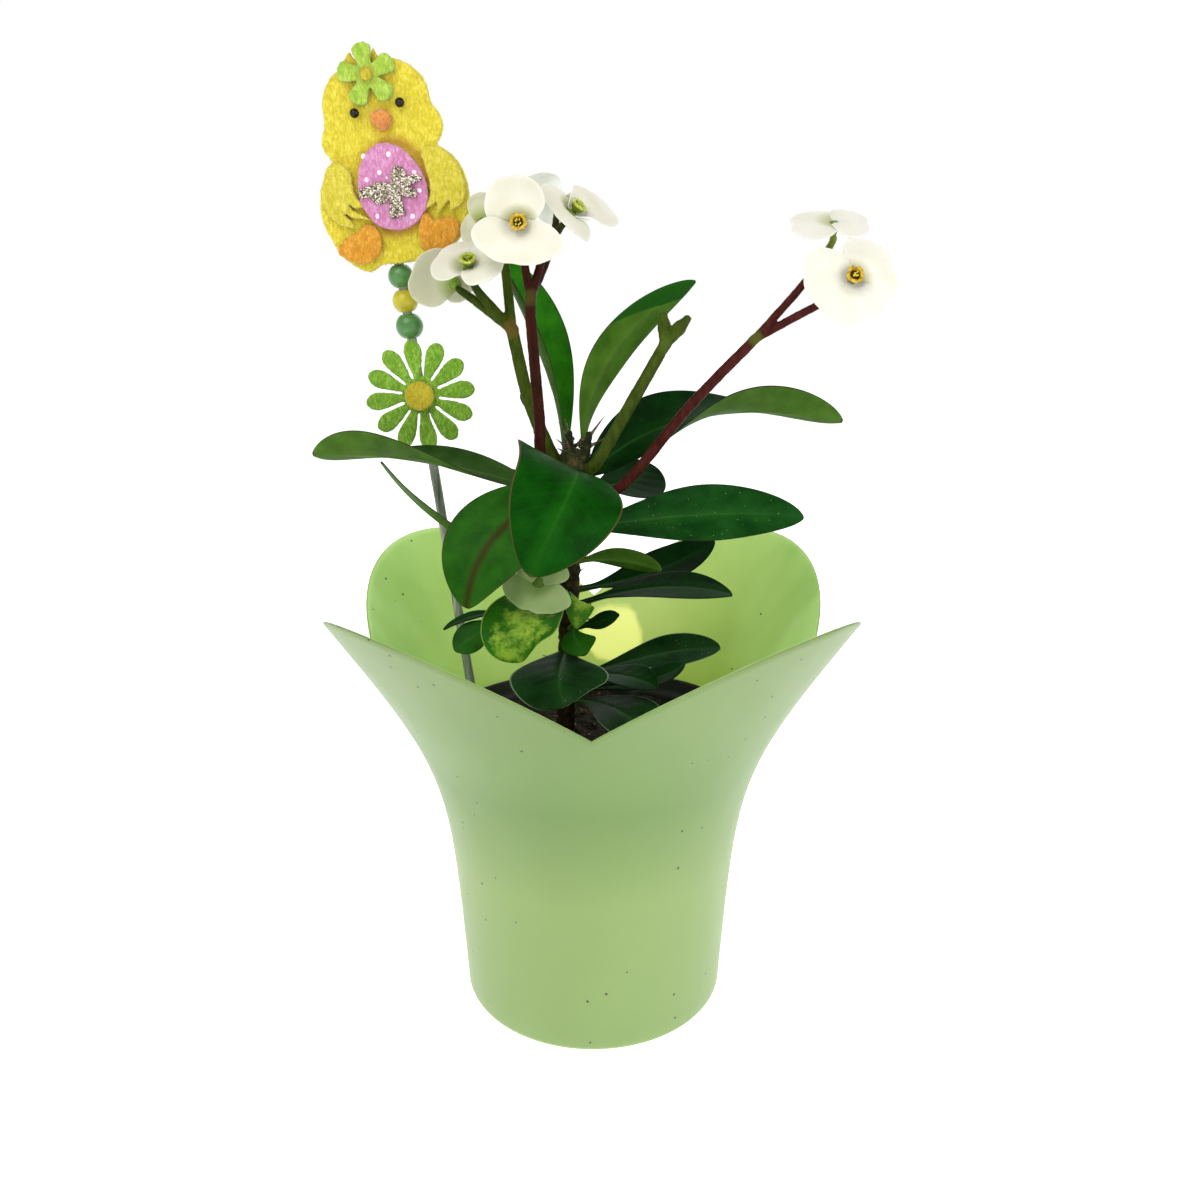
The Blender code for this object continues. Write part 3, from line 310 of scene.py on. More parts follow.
def bark_finish():
    """Young spurge bark: green-brown and cracked at the top, reddish where it is older."""
    it = Finish("young_spurge_bark", {"Roughness": 0.62, "Specular IOR Level": 0.15})
    rise = it.span(it.split(it.place)["Z"], 0.085, 0.19)
    blotch = it.noise(2.6, 5.0)
    old = it.ramp(blotch, (0.38, "#20130E"), (0.6, "#45291D"), (0.72, "#6E553C"))
    young = it.ramp(blotch, (0.36, "#12180A"), (0.55, "#263012"), (0.7, "#46441E"))
    return it.feed(it.mix(rise, old, young), None, it.cells(1.6, feature="DISTANCE_TO_EDGE"), 0.4, 0.7)


def twig_finish(name, dark, light, collar=None, fork=None):
    """Soft flower stalk: streaked along, with its own colour under the blooms and at the forks."""
    it = Finish(name, {"Roughness": 0.42, "IOR": 1.42, "Specular IOR Level": 0.06})
    streak = it.noise(1.6, vector=it.stretched(1, 1, 0.4))
    under_bloom, at_fork, _ = it.split(it.kept("marks"))
    forked = it.mix(at_fork, it.ramp(streak, (0.25, dark), (0.8, light)), fork or light)
    return it.feed(it.mix(under_bloom, forked, collar or dark), None, streak, 0.06, 0.5)


def leaf_finish(
    name, deep, light, beside, rib, margin,
    gloss=0.42, ribbed=0.5, veins=0.06, flecks=0.0, band=None, marbling=None, fold=None,
):
    """Leathery spurge leaf, one face of it.

    The blade attribute holds millimetres from the midrib, millimetres along, and how near the
    margin a point is; the eye gets a mottled waxy face, a midrib, faint side veins and a fine rim.
    """
    it = Finish(name, {"IOR": 1.45, "Specular IOR Level": 0.05})
    across, along, outward = it.split(it.kept("blade"))
    off, edge = it.math("ABSOLUTE", across), it.math("ABSOLUTE", outward)
    mottle = it.noise(7, 3.0)
    body = it.ramp(mottle, (0.34, deep), (0.66, light))
    if marbling:
        inward = it.span(edge, 0.3, 1.0, 0.02, -0.14)
        share = it.math("ADD", it.noise(6, 9.0, roughness=0.72), inward)
        body = it.mix(it.ramp(share, (0.44, "#000000"), (0.6, "#FFFFFF")), body, marbling)
    sway = it.math("MULTIPLY_ADD", mottle, 2.5, it.math("MULTIPLY_ADD", off, -VEIN_SLANT, along))
    vein = it.span(it.math("SINE", it.math("MULTIPLY", sway, math.tau / VEIN_STEP)), 0.75, 1.0)
    veined = it.mix(it.math("MULTIPLY", vein, veins), body, beside)
    colour = it.mix(it.span(off, 0.3, 4.0, 0.3, 0.0), veined, beside)
    if band:
        colour = it.mix(it.span(off, 0.3, 2.0, 0.75, 0.0), colour, band)
    line = it.span(off, 0.22, 0.6, ribbed, 0.0)
    colour = it.mix(it.math("MULTIPLY", line, it.kept("taper", "Fac")), colour, rib)
    colour = it.mix(it.span(edge, 0.975, 0.995, 0.0, 0.8), colour, margin)
    if fold:
        past = it.math("SUBTRACT", across, it.span(along, 42, 62, 7, -3))
        colour = it.mix(it.span(past, -0.15, 0.15), colour, fold)
    if flecks:
        fleck = it.span(it.cells(1.8).outputs["Distance"], 0.10, 0.05, 0.0, flecks)
        colour = it.mix(fleck, colour, "#C9CFBC")
    relief = it.math("MULTIPLY_ADD", vein, 0.6, it.noise(0.45))
    return it.feed(colour, it.span(mottle, 0.0, 1.0, gloss - 0.05, gloss + 0.09), relief, 0.06, 0.6)


def bract_finish(name, body, shade, heart_and_shade, rim):
    """Petal-like bract: soft waxy skin that lets a little light through, greener at its claw, where painted
    shade darkens the funnel round the glands.
    """
    it = Finish(name, {
        "Roughness": 0.5, "IOR": 1.4, "Subsurface Weight": 0.3, "Subsurface Scale": 0.0015,
        "Subsurface Radius": (1.0, 1.0, 0.8), "Specular IOR Level": 0.2,
    })
    angle, far, outward = it.split(it.kept("blade"))
    soft = it.noise(9, 1.0)
    base = it.ramp(soft, (0.3, shade), (0.7, body))
    centre = it.mix(it.span(far, 2.6, 6.0, 0.85, 0.0), base, heart_and_shade)
    lip = it.span(it.math("ABSOLUTE", outward), 0.9, 1.0, 0.0, 0.4)
    crease = it.math("SINE", it.math("MULTIPLY", angle, 46.0))
    return it.feed(it.mix(lip, centre, rim), None, it.math("MULTIPLY_ADD", crease, 0.5, soft), 0.05, 0.5)


def gland_finish(name, lip_dark, lip_light, middle, crease):
    """Nectar glands: wet waxy lips, brown in the creases between them, round a duller middle."""
    it = Finish(name, {"Roughness": 0.28, "IOR": 1.4, "Coat Weight": 0.4, "Coat Roughness": 0.12})
    inner, low, _ = it.split(it.kept("marks"))
    blot = it.noise(0.9, 3.0)
    lip = it.ramp(blot, (0.38, lip_dark), (0.6, lip_light))
    return it.feed(it.mix(low, it.mix(inner, lip, middle), crease), None, blot, 0.1, 0.6)


def wood_finish():
    """Split birch stick, sanded and weathered grey: long fine grain."""
    it = Finish("weathered_birch", {"Roughness": 0.65, "IOR": 1.5})
    grain = it.noise(0.55, 4.0, it.stretched(1, 1, 0.04))
    colour = it.ramp(grain, (0.33, "#6E7666"), (0.5, "#949C8A"), (0.7, "#B8BEAC"))
    return it.feed(colour, None, grain, 0.12, 0.7)


def felt_finish(name, body, deep, bright, glue_and_shade=None):
    """Pressed polyester felt, die cut: matt tangled fibres, drawn coarser than the real 0.02 mm.

    The marks attribute holds how much glue colour is laid on: painted shade round and under the pieces glued
    on, and some real glue.
    """
    it = Finish(name, {"Roughness": 0.92, "Sheen Weight": 0.35, "Sheen Roughness": 0.5})
    swirl = it.noise(2.4, 3.0, distortion=1.5)
    ways = [it.stretched(1.0, 1.0, 0.3, turn=turn) for turn in (0.9, -0.6)]
    tangle = it.math("ADD", *[it.noise(0.55, 3.0, way, distortion=0.8) for way in ways])
    tone = it.math("MULTIPLY_ADD", it.span(tangle, 0.8, 1.2), 0.5, swirl)
    colour = it.ramp(tone, (0.35, deep), (0.75, body), (1.0, bright))
    if glue_and_shade:
        colour = it.mix(it.split(it.kept("marks"))["Y"], colour, glue_and_shade)
    return it.feed(colour, None, tangle, 0.35, 0.8)


def glitter_finish():
    """Glitter-coated foil ribbon: 0.3 mm flakes of champagne and silver that each tilt their own way."""
    it = Finish("champagne_glitter", {"Metallic": 0.85, "Roughness": 0.32})
    flake = it.add("SeparateColor", {0: it.cells(0.34).outputs["Color"]})
    colour = it.ramp(flake, (0.15, "#4A4034"), (0.45, "#978A76"), (0.75, "#C4B7A0"), (0.93, "#FFF9EC"))
    return it.feed(colour, None, flake, 0.25, 1.0)


def clouded_finish(name, deep, body, size, constants, spread=0.12, detail=3.0, depth=0.05, strength=0.5):
    """A surface whose colour drifts between two tones: paint, glass or loose felt fibres."""
    it = Finish(name, constants)
    drift = it.noise(size, detail)
    return it.feed(it.ramp(drift, (0.5 - spread, deep), (0.5 + spread, body)), None, drift, depth, strength)


def chip_finish(name, dark, light, size):
    """Small loose bits on the peat: bark, grit or moss, blotched with their own two colours."""
    return clouded_finish(name, dark, light, size, {"Roughness": 0.8}, detail=4.0, depth=0.2, strength=0.8)


def bead_finish(name, body, deep):
    """Wooden bead in thick pearly lacquer: a deep gloss over slightly clouded colour."""
    lacquer = {"Roughness": 0.35, "Specular IOR Level": 0.2, "Coat Weight": 0.45, "Coat Roughness": 0.05}
    return clouded_finish(name, deep, body, 3.5, lacquer, spread=0.15, detail=2.0, strength=0.3)


# Mesh tools.


def settle(obj):
    """Apply an object's modifiers, or turn a curve into a mesh."""
    graph = bpy.context.evaluated_depsgraph_get()
    graph.update()
    mesh = bpy.data.meshes.new_from_object(obj.evaluated_get(graph))
    if obj.type == "MESH":
        obj.modifiers.clear()
        obj.data = mesh
        return obj
    name, place = obj.name, obj.matrix_world.copy()
    bpy.data.objects.remove(obj, do_unlink=True)
    made = bpy.data.objects.new(name, mesh)
    bpy.context.scene.collection.objects.link(made)
    mesh.transform(place)
    return made


def place_mesh(name, mesh, *finishes):
    """An object for a mesh, with its finishes."""
    obj = bpy.data.objects.new(name, mesh)
    bpy.context.scene.collection.objects.link(obj)
    for finish in finishes:
        mesh.materials.append(finish)
    return obj


def from_shape(name, shape, *finishes):
    """An object for a bmesh, smooth all over."""
    mesh = bpy.data.meshes.new(name)
    shape.to_mesh(mesh)
    shape.free()
    mesh.shade_smooth()
    return place_mesh(name, mesh, *finishes)


def join(pieces):
    """Join objects into the first one."""
    first = pieces[0]
    with bpy.context.temp_override(
        active_object=first, object=first, selected_editable_objects=pieces, selected_objects=pieces
    ):
        bpy.ops.object.join()
    return first


def hand_over(obj, node, slot):
    """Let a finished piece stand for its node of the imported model."""
    obj.name = node + "_finished"
    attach(obj, "root")
    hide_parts(node)


def skin_over(obj, voxel, smooth):
    """Melt overlapping forms into one skin, eased by so many rounds of smoothing."""
    finish = obj.data.materials[0]
    skin = obj.modifiers.new("skin", "REMESH")
    skin.mode = "VOXEL"
    skin.voxel_size = voxel * MM
    skin.use_smooth_shade = True
    ease = obj.modifiers.new("ease", "SMOOTH")
    ease.factor = 0.5
    ease.iterations = smooth
    settle(obj)
    obj.data.materials.clear()
    obj.data.materials.append(finish)
    return obj


def roughen(obj, *layers):
    """Push each point along its normal by noise: each layer is a height and a width in millimetres."""
    mesh = obj.data
    moves = []
    for vert in mesh.vertices:
        push = sum(
            height * noise.noise(vert.co / (width * MM) + Vector((7.3 * i, 0, 0)))
            for i, (height, width) in enumerate(layers)
        )
        moves.append(vert.co + vert.normal * push * MM)
    for vert, place in zip(mesh.vertices, moves):
        vert.co = place
    mesh.update()
    return obj


def mark(obj, rule):
    """Keep two numbers on each point, worked out from its place in millimetres."""
    layer = obj.data.attributes.new("marks", "FLOAT_VECTOR", "POINT")
    for vert, slot in zip(obj.data.vertices, layer.data):
        slot.vector = (*rule(vert.co / MM), 0.0)


def within(value, low=0.0, high=1.0):
    return max(low, min(high, value))


def near(point, spot, reach):
    """1 at a spot, falling to 0 at its reach."""
    return max(0.0, 1.0 - (point - spot).length / reach) ** 0.7


def round_places(radius, count, start=0):
    """The x and y of evenly spaced places on a circle."""
    turns = [math.tau * (k + start) / count for k in range(count)]
    return [(radius * math.cos(angle), radius * math.sin(angle)) for angle in turns]


def smooth_path(points, steps):
    """Catmull-Rom points through a route, with steps pieces a stretch."""
    ends = [2 * points[0] - points[1], *points, 2 * points[-1] - points[-2]]
    path = []
    for before, start, end, after in zip(ends, ends[1:], ends[2:], ends[3:]):
        for i in range(steps):
            t = i / steps
            line = (end - before) * t
            curve = (2 * before - 5 * start + 4 * end - after) * t**2
            turn = (3 * start - before - 3 * end + after) * t**3
            path.append(0.5 * (2 * start + line + curve + turn))
    return path + [points[-1]]


def add_rod(shape, points, radii, sides=12, dome=0.5):
    """A round rod through points, with a radius at each one and domed ends."""
    rings = []
    side = (points[1] - points[0]).orthogonal().normalized()
    for i, (point, radius) in enumerate(zip(points, radii)):
        before, after = points[max(i - 1, 0)], points[min(i + 1, len(points) - 1)]
        along = (after - before).normalized()
        side = (side - along * side.dot(along)).normalized()
        other = along.cross(side)
        outs = [side * x + other * y for x, y in round_places(1.0, sides)]
        rings.append([shape.verts.new((point + out * radius) * MM) for out in outs])
    for low, high in zip(rings, rings[1:]):
        for k in range(sides):
            shape.faces.new((low[k], low[k - 1], high[k - 1], high[k]))
    for end, inward, back in ((0, 1, 1), (-1, -2, 0)):
        way = (points[end] - points[inward]).normalized()
        tip = shape.verts.new((points[end] + way * radii[end] * dome) * MM)
        for k in range(sides):
            shape.faces.new((rings[end][k - back], rings[end][k - 1 + back], tip))


def add_blob(shape, centre, radii, facing=Vector((0, 0, 1)), detail=2):
    """A rounded lump, with a half size along each of its own axes."""
    turn = facing.to_track_quat("Z", "Y").to_matrix().to_4x4()
    size = Matrix.Diagonal((*(r * MM for r in radii), 1.0))
    move = Matrix.Translation(centre * MM)
    bmesh.ops.create_icosphere(shape, subdivisions=detail, radius=1.0, matrix=move @ turn @ size)


def with_fibres(obj, finish, count, length, thick, seed):
    """Add loose fibres to a felt piece: curved hairs with three sides, in their own finish."""
    draw = random.Random(seed)
    faces = list(obj.data.polygons)
    shape = bmesh.new()
    for face in draw.choices(faces, weights=[face.area for face in faces], k=count):
        start = face.center / MM - face.normal * 0.1
        random_way = Vector((draw.uniform(-1, 1), draw.uniform(-1, 1), draw.uniform(-1, 1)))
        flat = (random_way - face.normal * random_way.dot(face.normal)).normalized()
        way = (face.normal * (1 - FIBRE_LEAN) + flat * FIBRE_LEAN).normalized()
        curl = face.normal.cross(flat) * draw.uniform(-0.5, 0.5)
        reach = length * draw.uniform(0.4, 1.0)
        lift = face.normal * 0.12
        points = [start + way * reach * t + curl * reach * t * t + lift for t in (0.0, 0.35, 0.7, 1.0)]
        points[-1] -= face.normal * reach * 0.15
        add_rod(shape, points, (thick, thick, thick * 0.8, thick * 0.4), 3, 1.0)
    obj = join([obj, from_shape("fibres", shape)])
    obj.data.materials[1] = finish
    return obj


def blade_mesh(name, across, along, place, thickness, facts, finishes, bunch=1.35, root=1.0):
    """A closed thin blade: place(u, v) is its middle surface, thickness(u, v) its upper and lower half.

    Points bunch toward the midline, and toward the foot and the tip. facts(u, v) gives the three
    numbers that are kept on each point as the blade attribute, and how much midrib is left there.
    """
    cells = []
    for j in range(along + 1):
        t = j / along
        v = 1 - (1 - t) ** 1.5 if root == 1.0 else math.sin(t * math.pi / 2) ** root
        for i in range(across + 1):
            s = 2 * i / across - 1
            cells.append((0.5 + 0.5 * math.copysign(abs(s) ** bunch, s), v))
    wide = across + 1
    middle = [place(u, v) for u, v in cells]
    upper, lower = [], []
    for j in range(along + 1):
        for i in range(wide):
            here = j * wide + i
            left, right = middle[j * wide + max(i - 1, 0)], middle[j * wide + min(i + 1, across)]
            low, high = middle[max(j - 1, 0) * wide + i], middle[min(j + 1, along) * wide + i]
            normal = (right - left).cross(high - low).normalized()
            above, below = thickness(*cells[here])
            upper.append(middle[here] + normal * above)
            lower.append(middle[here] - normal * below)
    count = len(upper)
    faces, kinds = [], []
    for j in range(along):
        for i in range(across):
            a = j * wide + i
            faces.append((a, a + 1, a + wide + 1, a + wide))
            faces.append((count + a, count + a + wide, count + a + wide + 1, count + a + 1))
            kinds += [0, 1]
    border = [*range(wide), *(j * wide + across for j in range(1, along + 1))]
    border += [along * wide + i for i in range(across - 1, -1, -1)]
    border += [j * wide for j in range(along - 1, 0, -1)]
    for a, b in zip(border, border[1:] + border[:1]):
        faces.append((b, a, count + a, count + b))
        kinds.append(0)
    mesh = bpy.data.meshes.new(name)
    mesh.from_pydata([point * MM for point in upper + lower], [], faces)
    mesh.polygons.foreach_set("material_index", kinds)
    mesh.shade_smooth()
    mesh.attributes.new("blade", "FLOAT_VECTOR", "POINT")
    mesh.attributes.new("taper", "FLOAT", "POINT")
    blade, taper = mesh.attributes["blade"], mesh.attributes["taper"]
    for slot, other, (u, v) in zip(blade.data, taper.data, cells * 2):
        slot.vector, other.value = facts(u, v)
    return refine(place_mesh(name, mesh, *finishes))


def refine(obj):
    """Round a piece off with a subdivision surface."""
    round_off = obj.modifiers.new("round_off", "SUBSURF")
    round_off.levels = 1
    return settle(obj)


def bridge(shape, one, two):
    """Faces between two rings, either of which may be one point."""
    for k in range(max(len(one), len(two))):
        if len(one) == 1:
            shape.faces.new((one[0], two[k], two[k - 1]))
        elif len(two) == 1:
            shape.faces.new((two[0], one[k - 1], one[k]))
        else:
            shape.faces.new((one[k - 1], one[k], two[k], two[k - 1]))


def close_rings(name, shape, rings, finish):
    """An object from rings of points, each bridged to the next."""
    for one, two in zip(rings, rings[1:]):
        bridge(shape, one, two)
    bmesh.ops.recalc_face_normals(shape, faces=shape.faces)
    return from_shape(name, shape, finish)


def lathe(name, profile, around, finish):
    """Turn (radius, height) points about Z; they run from one end on the axis to the other."""
    shape = bmesh.new()
    rings = []
    for radius, height in profile:
        places = round_places(radius, around) if radius else [(0, 0)]
        rings.append([shape.verts.new((x * MM, y * MM, height * MM)) for x, y in places])
    return close_rings(name, shape, rings, finish)


# Cover pot, nursery pot and soil.


def cover_radius(height):
    """Outer radius of the cover pot's wall at a height."""
    flare = math.log1p(math.exp((height - COVER_FLARE_HEIGHT) / COVER_FLARE_SOFTNESS))
    return COVER_BASE_RADIUS + COVER_TAPER * height + COVER_FLARE_SLOPE * COVER_FLARE_SOFTNESS * flare


def cover_place(azimuth, radius, height):
    return Vector((-radius * math.sin(azimuth), radius * math.cos(azimuth), height))


def cover_wall_point(azimuth, climb, inward):
    """A point part of the way up the cover's wall, or so far inside it.

    The cut edge has notches at the front, back and sides, and petals between.
    """
    edge = COVER_NOTCH_HEIGHT + COVER_PETAL_RISE * abs(math.sin(2 * azimuth))
    height = COVER_FOOT_ROUND + (edge - COVER_FOOT_ROUND) * climb
    slope = cover_radius(height + 0.5) - cover_radius(height - 0.5)
    lean = math.hypot(1.0, slope)
    return cover_place(azimuth, cover_radius(height) - inward / lean, height + inward * slope / lean)


def make_cover(finish):
    """The cover in one closed shell: floor, rounded foot, flaring wall and a thin rounded rim."""
    foot = COVER_FOOT_ROUND
    flat = COVER_BASE_RADIUS - foot
    rows = [(cover_place, radius, 0.0) for radius in (*COVER_FLOOR_RINGS, flat)]
    for step in (0.25, 0.5, 0.75):
        angle = step * math.pi / 2
        rows.append((cover_place, flat + foot * math.sin(angle), foot * (1 - math.cos(angle))))
    climbs = [(i / COVER_UP) ** COVER_CROWDING for i in range(COVER_UP + 1)]
    rows += [(cover_wall_point, climb, 0.0) for climb in climbs]
    outside = len(rows)
    rows.append((cover_wall_point, 1.002, 0.4 * COVER_WALL))
    rows += [(cover_wall_point, climb, COVER_WALL) for climb in reversed(climbs)]
    rows.append((cover_place, flat + 0.4, COVER_WALL + 0.35))
    rows += [(cover_place, radius, COVER_WALL) for radius in (flat - 1.5, 30.0, 14.0)]
    shape = bmesh.new()
    side = shape.verts.layers.float.new("inside")
    rings = []
    for i, (place, one, two) in enumerate(rows):
        azimuths = [math.tau * k / COVER_AROUND for k in range(COVER_AROUND)]
        ring = [shape.verts.new(place(azimuth, one, two) * MM) for azimuth in azimuths]
        for vert in ring:
            vert[side] = 1.0 if i > outside else 0.0
        rings.append(ring)
    bottom, top = shape.verts.new((0, 0, 0)), shape.verts.new((0, 0, COVER_WALL * MM))
    top[side] = 1.0
    cover = close_rings("cover_shell", shape, [[bottom], *rings, [top]], finish)
    hand_over(cover, "cover", "cover_plastic")


def pot_radius(height):
    """Outer radius of the nursery pot's tapered wall at a height."""
    part = (height - POT_FLOOR) / (POT_RIM_TOP - POT_RIM_BAND - POT_FLOOR)
    return POT_FOOT_RADIUS + (POT_SHOULDER_RADIUS - POT_FOOT_RADIUS) * part


def make_nursery_pot(finish):
    """Thin black pot with a rolled rim band and drain holes."""
    band = POT_RIM_TOP - POT_RIM_BAND
    floor = POT_FLOOR + POT_WALL
    wall, rim = POT_WALL, POT_RIM_RADIUS
    profile = (
        (0, floor), (pot_radius(floor) - wall - 1.0, floor), (pot_radius(floor + 1) - wall, floor + 1.0),
        (pot_radius(band) - wall, band), (pot_radius(band) - wall + 0.4, band + wall),
        (rim - wall - 0.3, band + wall + 0.1), (rim - wall, band + wall + 0.6),
        (rim - wall, POT_RIM_TOP - 0.5), (rim - wall * 0.8, POT_RIM_TOP - 0.1),
        (rim - wall * 0.5, POT_RIM_TOP), (rim - 0.2, POT_RIM_TOP - 0.1), (rim, POT_RIM_TOP - 0.5),
        (rim, band + 0.3), (rim - 0.3, band), (POT_SHOULDER_RADIUS, band),
        (POT_FOOT_RADIUS + 0.3, POT_FLOOR + 1.0), (POT_FOOT_RADIUS - 0.7, POT_FLOOR), (0, POT_FLOOR),
    )
    pot = lathe("nursery_pot_shell", profile, POT_AROUND, finish)
    holes = bmesh.new()
    for x, y in round_places(DRAIN_RING, DRAIN_HOLES, 0.5):
        ends = [Vector((x, y, 0)) + Vector((0, 0, height)) for height in (POT_FLOOR - 2, floor + 2)]
        add_rod(holes, ends, (DRAIN_RADIUS, DRAIN_RADIUS), 32, 0.0)
    cutter = from_shape("drains", holes)
    drill = pot.modifiers.new("drill", "BOOLEAN")
    drill.operation = "DIFFERENCE"
    drill.object = cutter
    drill.solver = "EXACT"
    settle(pot)
    bpy.data.objects.remove(cutter, do_unlink=True)
    hand_over(pot, "nursery_pot", "black_plastic")


def soil_height(x, y):
    """Uneven top of the peat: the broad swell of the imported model, crumbs and clods."""
    swell = 0.8 * math.sin(0.31 * x + 1.0) * math.cos(0.27 * y) + 0.5 * math.sin(0.7 * x + 0.5 * y)
    spot = Vector((x, y, 0.0))
    crumbs = 1.1 * noise.noise(spot / 3.1) + 0.7 * noise.noise(spot / 1.3) + 0.4 * noise.noise(spot / 0.7)
    clods = 1.2 * max(0.0, noise.noise(spot / 6.0 + Vector((3, 1, 4)))) ** 0.8
    return SOIL_TOP + (swell + crumbs + clods)


# Loose bits on the peat: finish, how many, smallest and largest length, and where they gather:
# x and its spread, y and its spread.
SOIL_BITS = (
    ("bark", 90, 1.2, 4.5, None),
    ("grit", 34, 0.7, 1.8, None),
    ("pebble", 1, 2.4, 2.6, (-22, 0, -24, 0)),
    ("moss", 46, 1.0, 2.6, (30, 3, 2, 5)),
)


def make_soil(finishes):
    """Peat that fills the pot, with bark, grit and moss on its crumbly top."""
    bottom = POT_FLOOR + POT_WALL + GAP
    clearance = POT_WALL + GAP + 0.3
    edge = pot_radius(SOIL_TOP) - clearance
    shape = bmesh.new()
    rings = [[shape.verts.new((0, 0, soil_height(0, 0) * MM))]]
    for j in range(1, SOIL_RINGS + 1):
        places = round_places(edge * j / SOIL_RINGS, SOIL_AROUND)
        rings.append([shape.verts.new((x * MM, y * MM, soil_height(x, y) * MM)) for x, y in places])
    places = round_places(pot_radius(bottom) - clearance, SOIL_AROUND)
    rings.append([shape.verts.new((x * MM, y * MM, bottom * MM)) for x, y in places])
    rings.append([shape.verts.new((0, 0, bottom * MM))])
    pieces = [close_rings("peat", shape, rings, finishes["peat"])]
    for seed, bits in enumerate(SOIL_BITS):
        pieces.append(scatter_bits(*bits, edge, seed + 11, finishes[bits[0]]))
    hand_over(join(pieces), "soil", "peat")


def scatter_bits(kind, count, small, large, home, edge, seed, finish):
    """Irregular flat chips that lie on the peat."""
    draw = random.Random(seed)
    shape = bmesh.new()
    for _ in range(count):
        if home:
            x, y = home[0] + draw.gauss(0, home[1]), home[2] + draw.gauss(0, home[3])
        else:
            radius, angle = edge * draw.random() ** 0.5 * 0.96, math.tau * draw.random()
            x, y = radius * math.cos(angle), radius * math.sin(angle)
        long = draw.uniform(small, large)
        sizes = (long / 2, long * draw.uniform(0.18, 0.4), long * draw.uniform(0.12, 0.3))
        lean = Vector((draw.uniform(-0.6, 0.6), draw.uniform(-0.6, 0.6), 1.0))
        first = len(shape.verts)
        middle = Vector((x, y, soil_height(x, y) + sizes[2] * 0.3))
        add_blob(shape, Vector((0, 0, 0)), sizes)
        shape.verts.ensure_lookup_table()
        turn = lean.to_track_quat("Z", "Y").to_matrix() @ Matrix.Rotation(draw.uniform(0, math.tau), 3, "Z")
        for vert in shape.verts[first:]:
            dent = 1 + 0.45 * noise.noise(vert.co / (long * 0.3 * MM) + Vector((x, y, 0)))
            vert.co = turn @ (vert.co * dent) + middle * MM
    return from_shape(kind, shape, finish)


# Stem, leaves and side shoots.


def stem_at(height):
    """Middle and radius of the main stem at a height."""
    for low, high in zip(STEM, STEM[1:]):
        if height <= high[0]:
            part = (height - low[0]) / (high[0] - low[0])
            x, y, radius = (a + (b - a) * part for a, b in zip(low[1:], high[1:]))
            return Vector((x, y, height)), radius
    return Vector((*STEM[-1][1:3], height)), STEM[-1][3]


def stem_side(height, toward, extra):
    """A point just off the stem's side at a height, toward another point."""
    middle, radius = stem_at(height)
    outward = Vector(toward) - middle
    outward.z = 0
    return middle + outward.normalized() * (radius + GAP + extra)


# Short spiny stubs that crowd the crown: foot offset, tip offset and height, and radius. They
# all start at the same height.
STUB_FOOT = 176.0
CROWN_STUBS = (
    ((2.5, -1.0), (4.5, -1.5, 187.0), 1.7),
    ((-1.5, 2.5), (-2.5, 4.0, 186.0), 1.6),
    ((-1.0, -2.0), (-1.5, -3.0, 185.0), 1.5),
    ((-0.5, 0.0), (-1.5, 0.0, 187.5), 1.3),
)

# Bare thin stalk behind the front stalk, with two tiny buds at its top.
THIN_STALK = (Vector((-7.0, 3.0, 177.0)), Vector((-16.0, 9.0, 183.0)), Vector((-20.5, 9.0, 196.0)))

# Spines: height, azimuth in degrees, length and rise.
SPINES = (
    (92.0, 200, 5.0, 1.0),
    (99.0, 120, 5.0, 1.5),
    (112.0, 160, 6.0, 1.0),
    (126.0, 20, 7.0, 0.0),
    (141.0, 60, 6.0, 1.0),
    (152.0, 130, 6.0, 2.0),
    (156.0, 350, 6.0, -1.0),
)
CROWN_SPINES = (
    ((-1.0, -1.5, 186.0), (3.5, -2.0, 192.0)),
    ((-1.0, -1.5, 183.0), (5.5, -3.0, 186.5)),
    ((-7.0, 3.0, 184.0), (-10.5, 5.0, 189.5)),
    ((-7.0, 0.5, 185.5), (-8.5, 2.0, 191.5)),
    ((-7.0, -3.0, 183.0), (-9.0, -5.5, 187.5)),
)


# Leaf scars and small crown spines: how many, over which heights, and their size or length.
SCARS = 60
SCAR_HEIGHTS = (88, 180)
SCAR_SIZE = (0.9, 0.9, 0.6)
SMALL_SPINES = 26
SMALL_SPINE_HEIGHTS = (168, 185)
SMALL_SPINE_LENGTHS = (2.5, 4.5)
STEM_STEPS = 50


def along_z(angle, rise):
    """A way that leaves the stem at an angle round it."""
    return Vector((math.cos(angle), math.sin(angle), rise))


def add_spine(shape, foot, tip):
    """A stout tapering thorn, swollen at its foot."""
    way = tip - foot
    points = [foot, foot + way * 0.12, foot + way * 0.35, foot + way * 0.7, tip]
    add_rod(shape, points, (0.75, 0.55, 0.36, 0.22, 0.07), 8, 1.0)


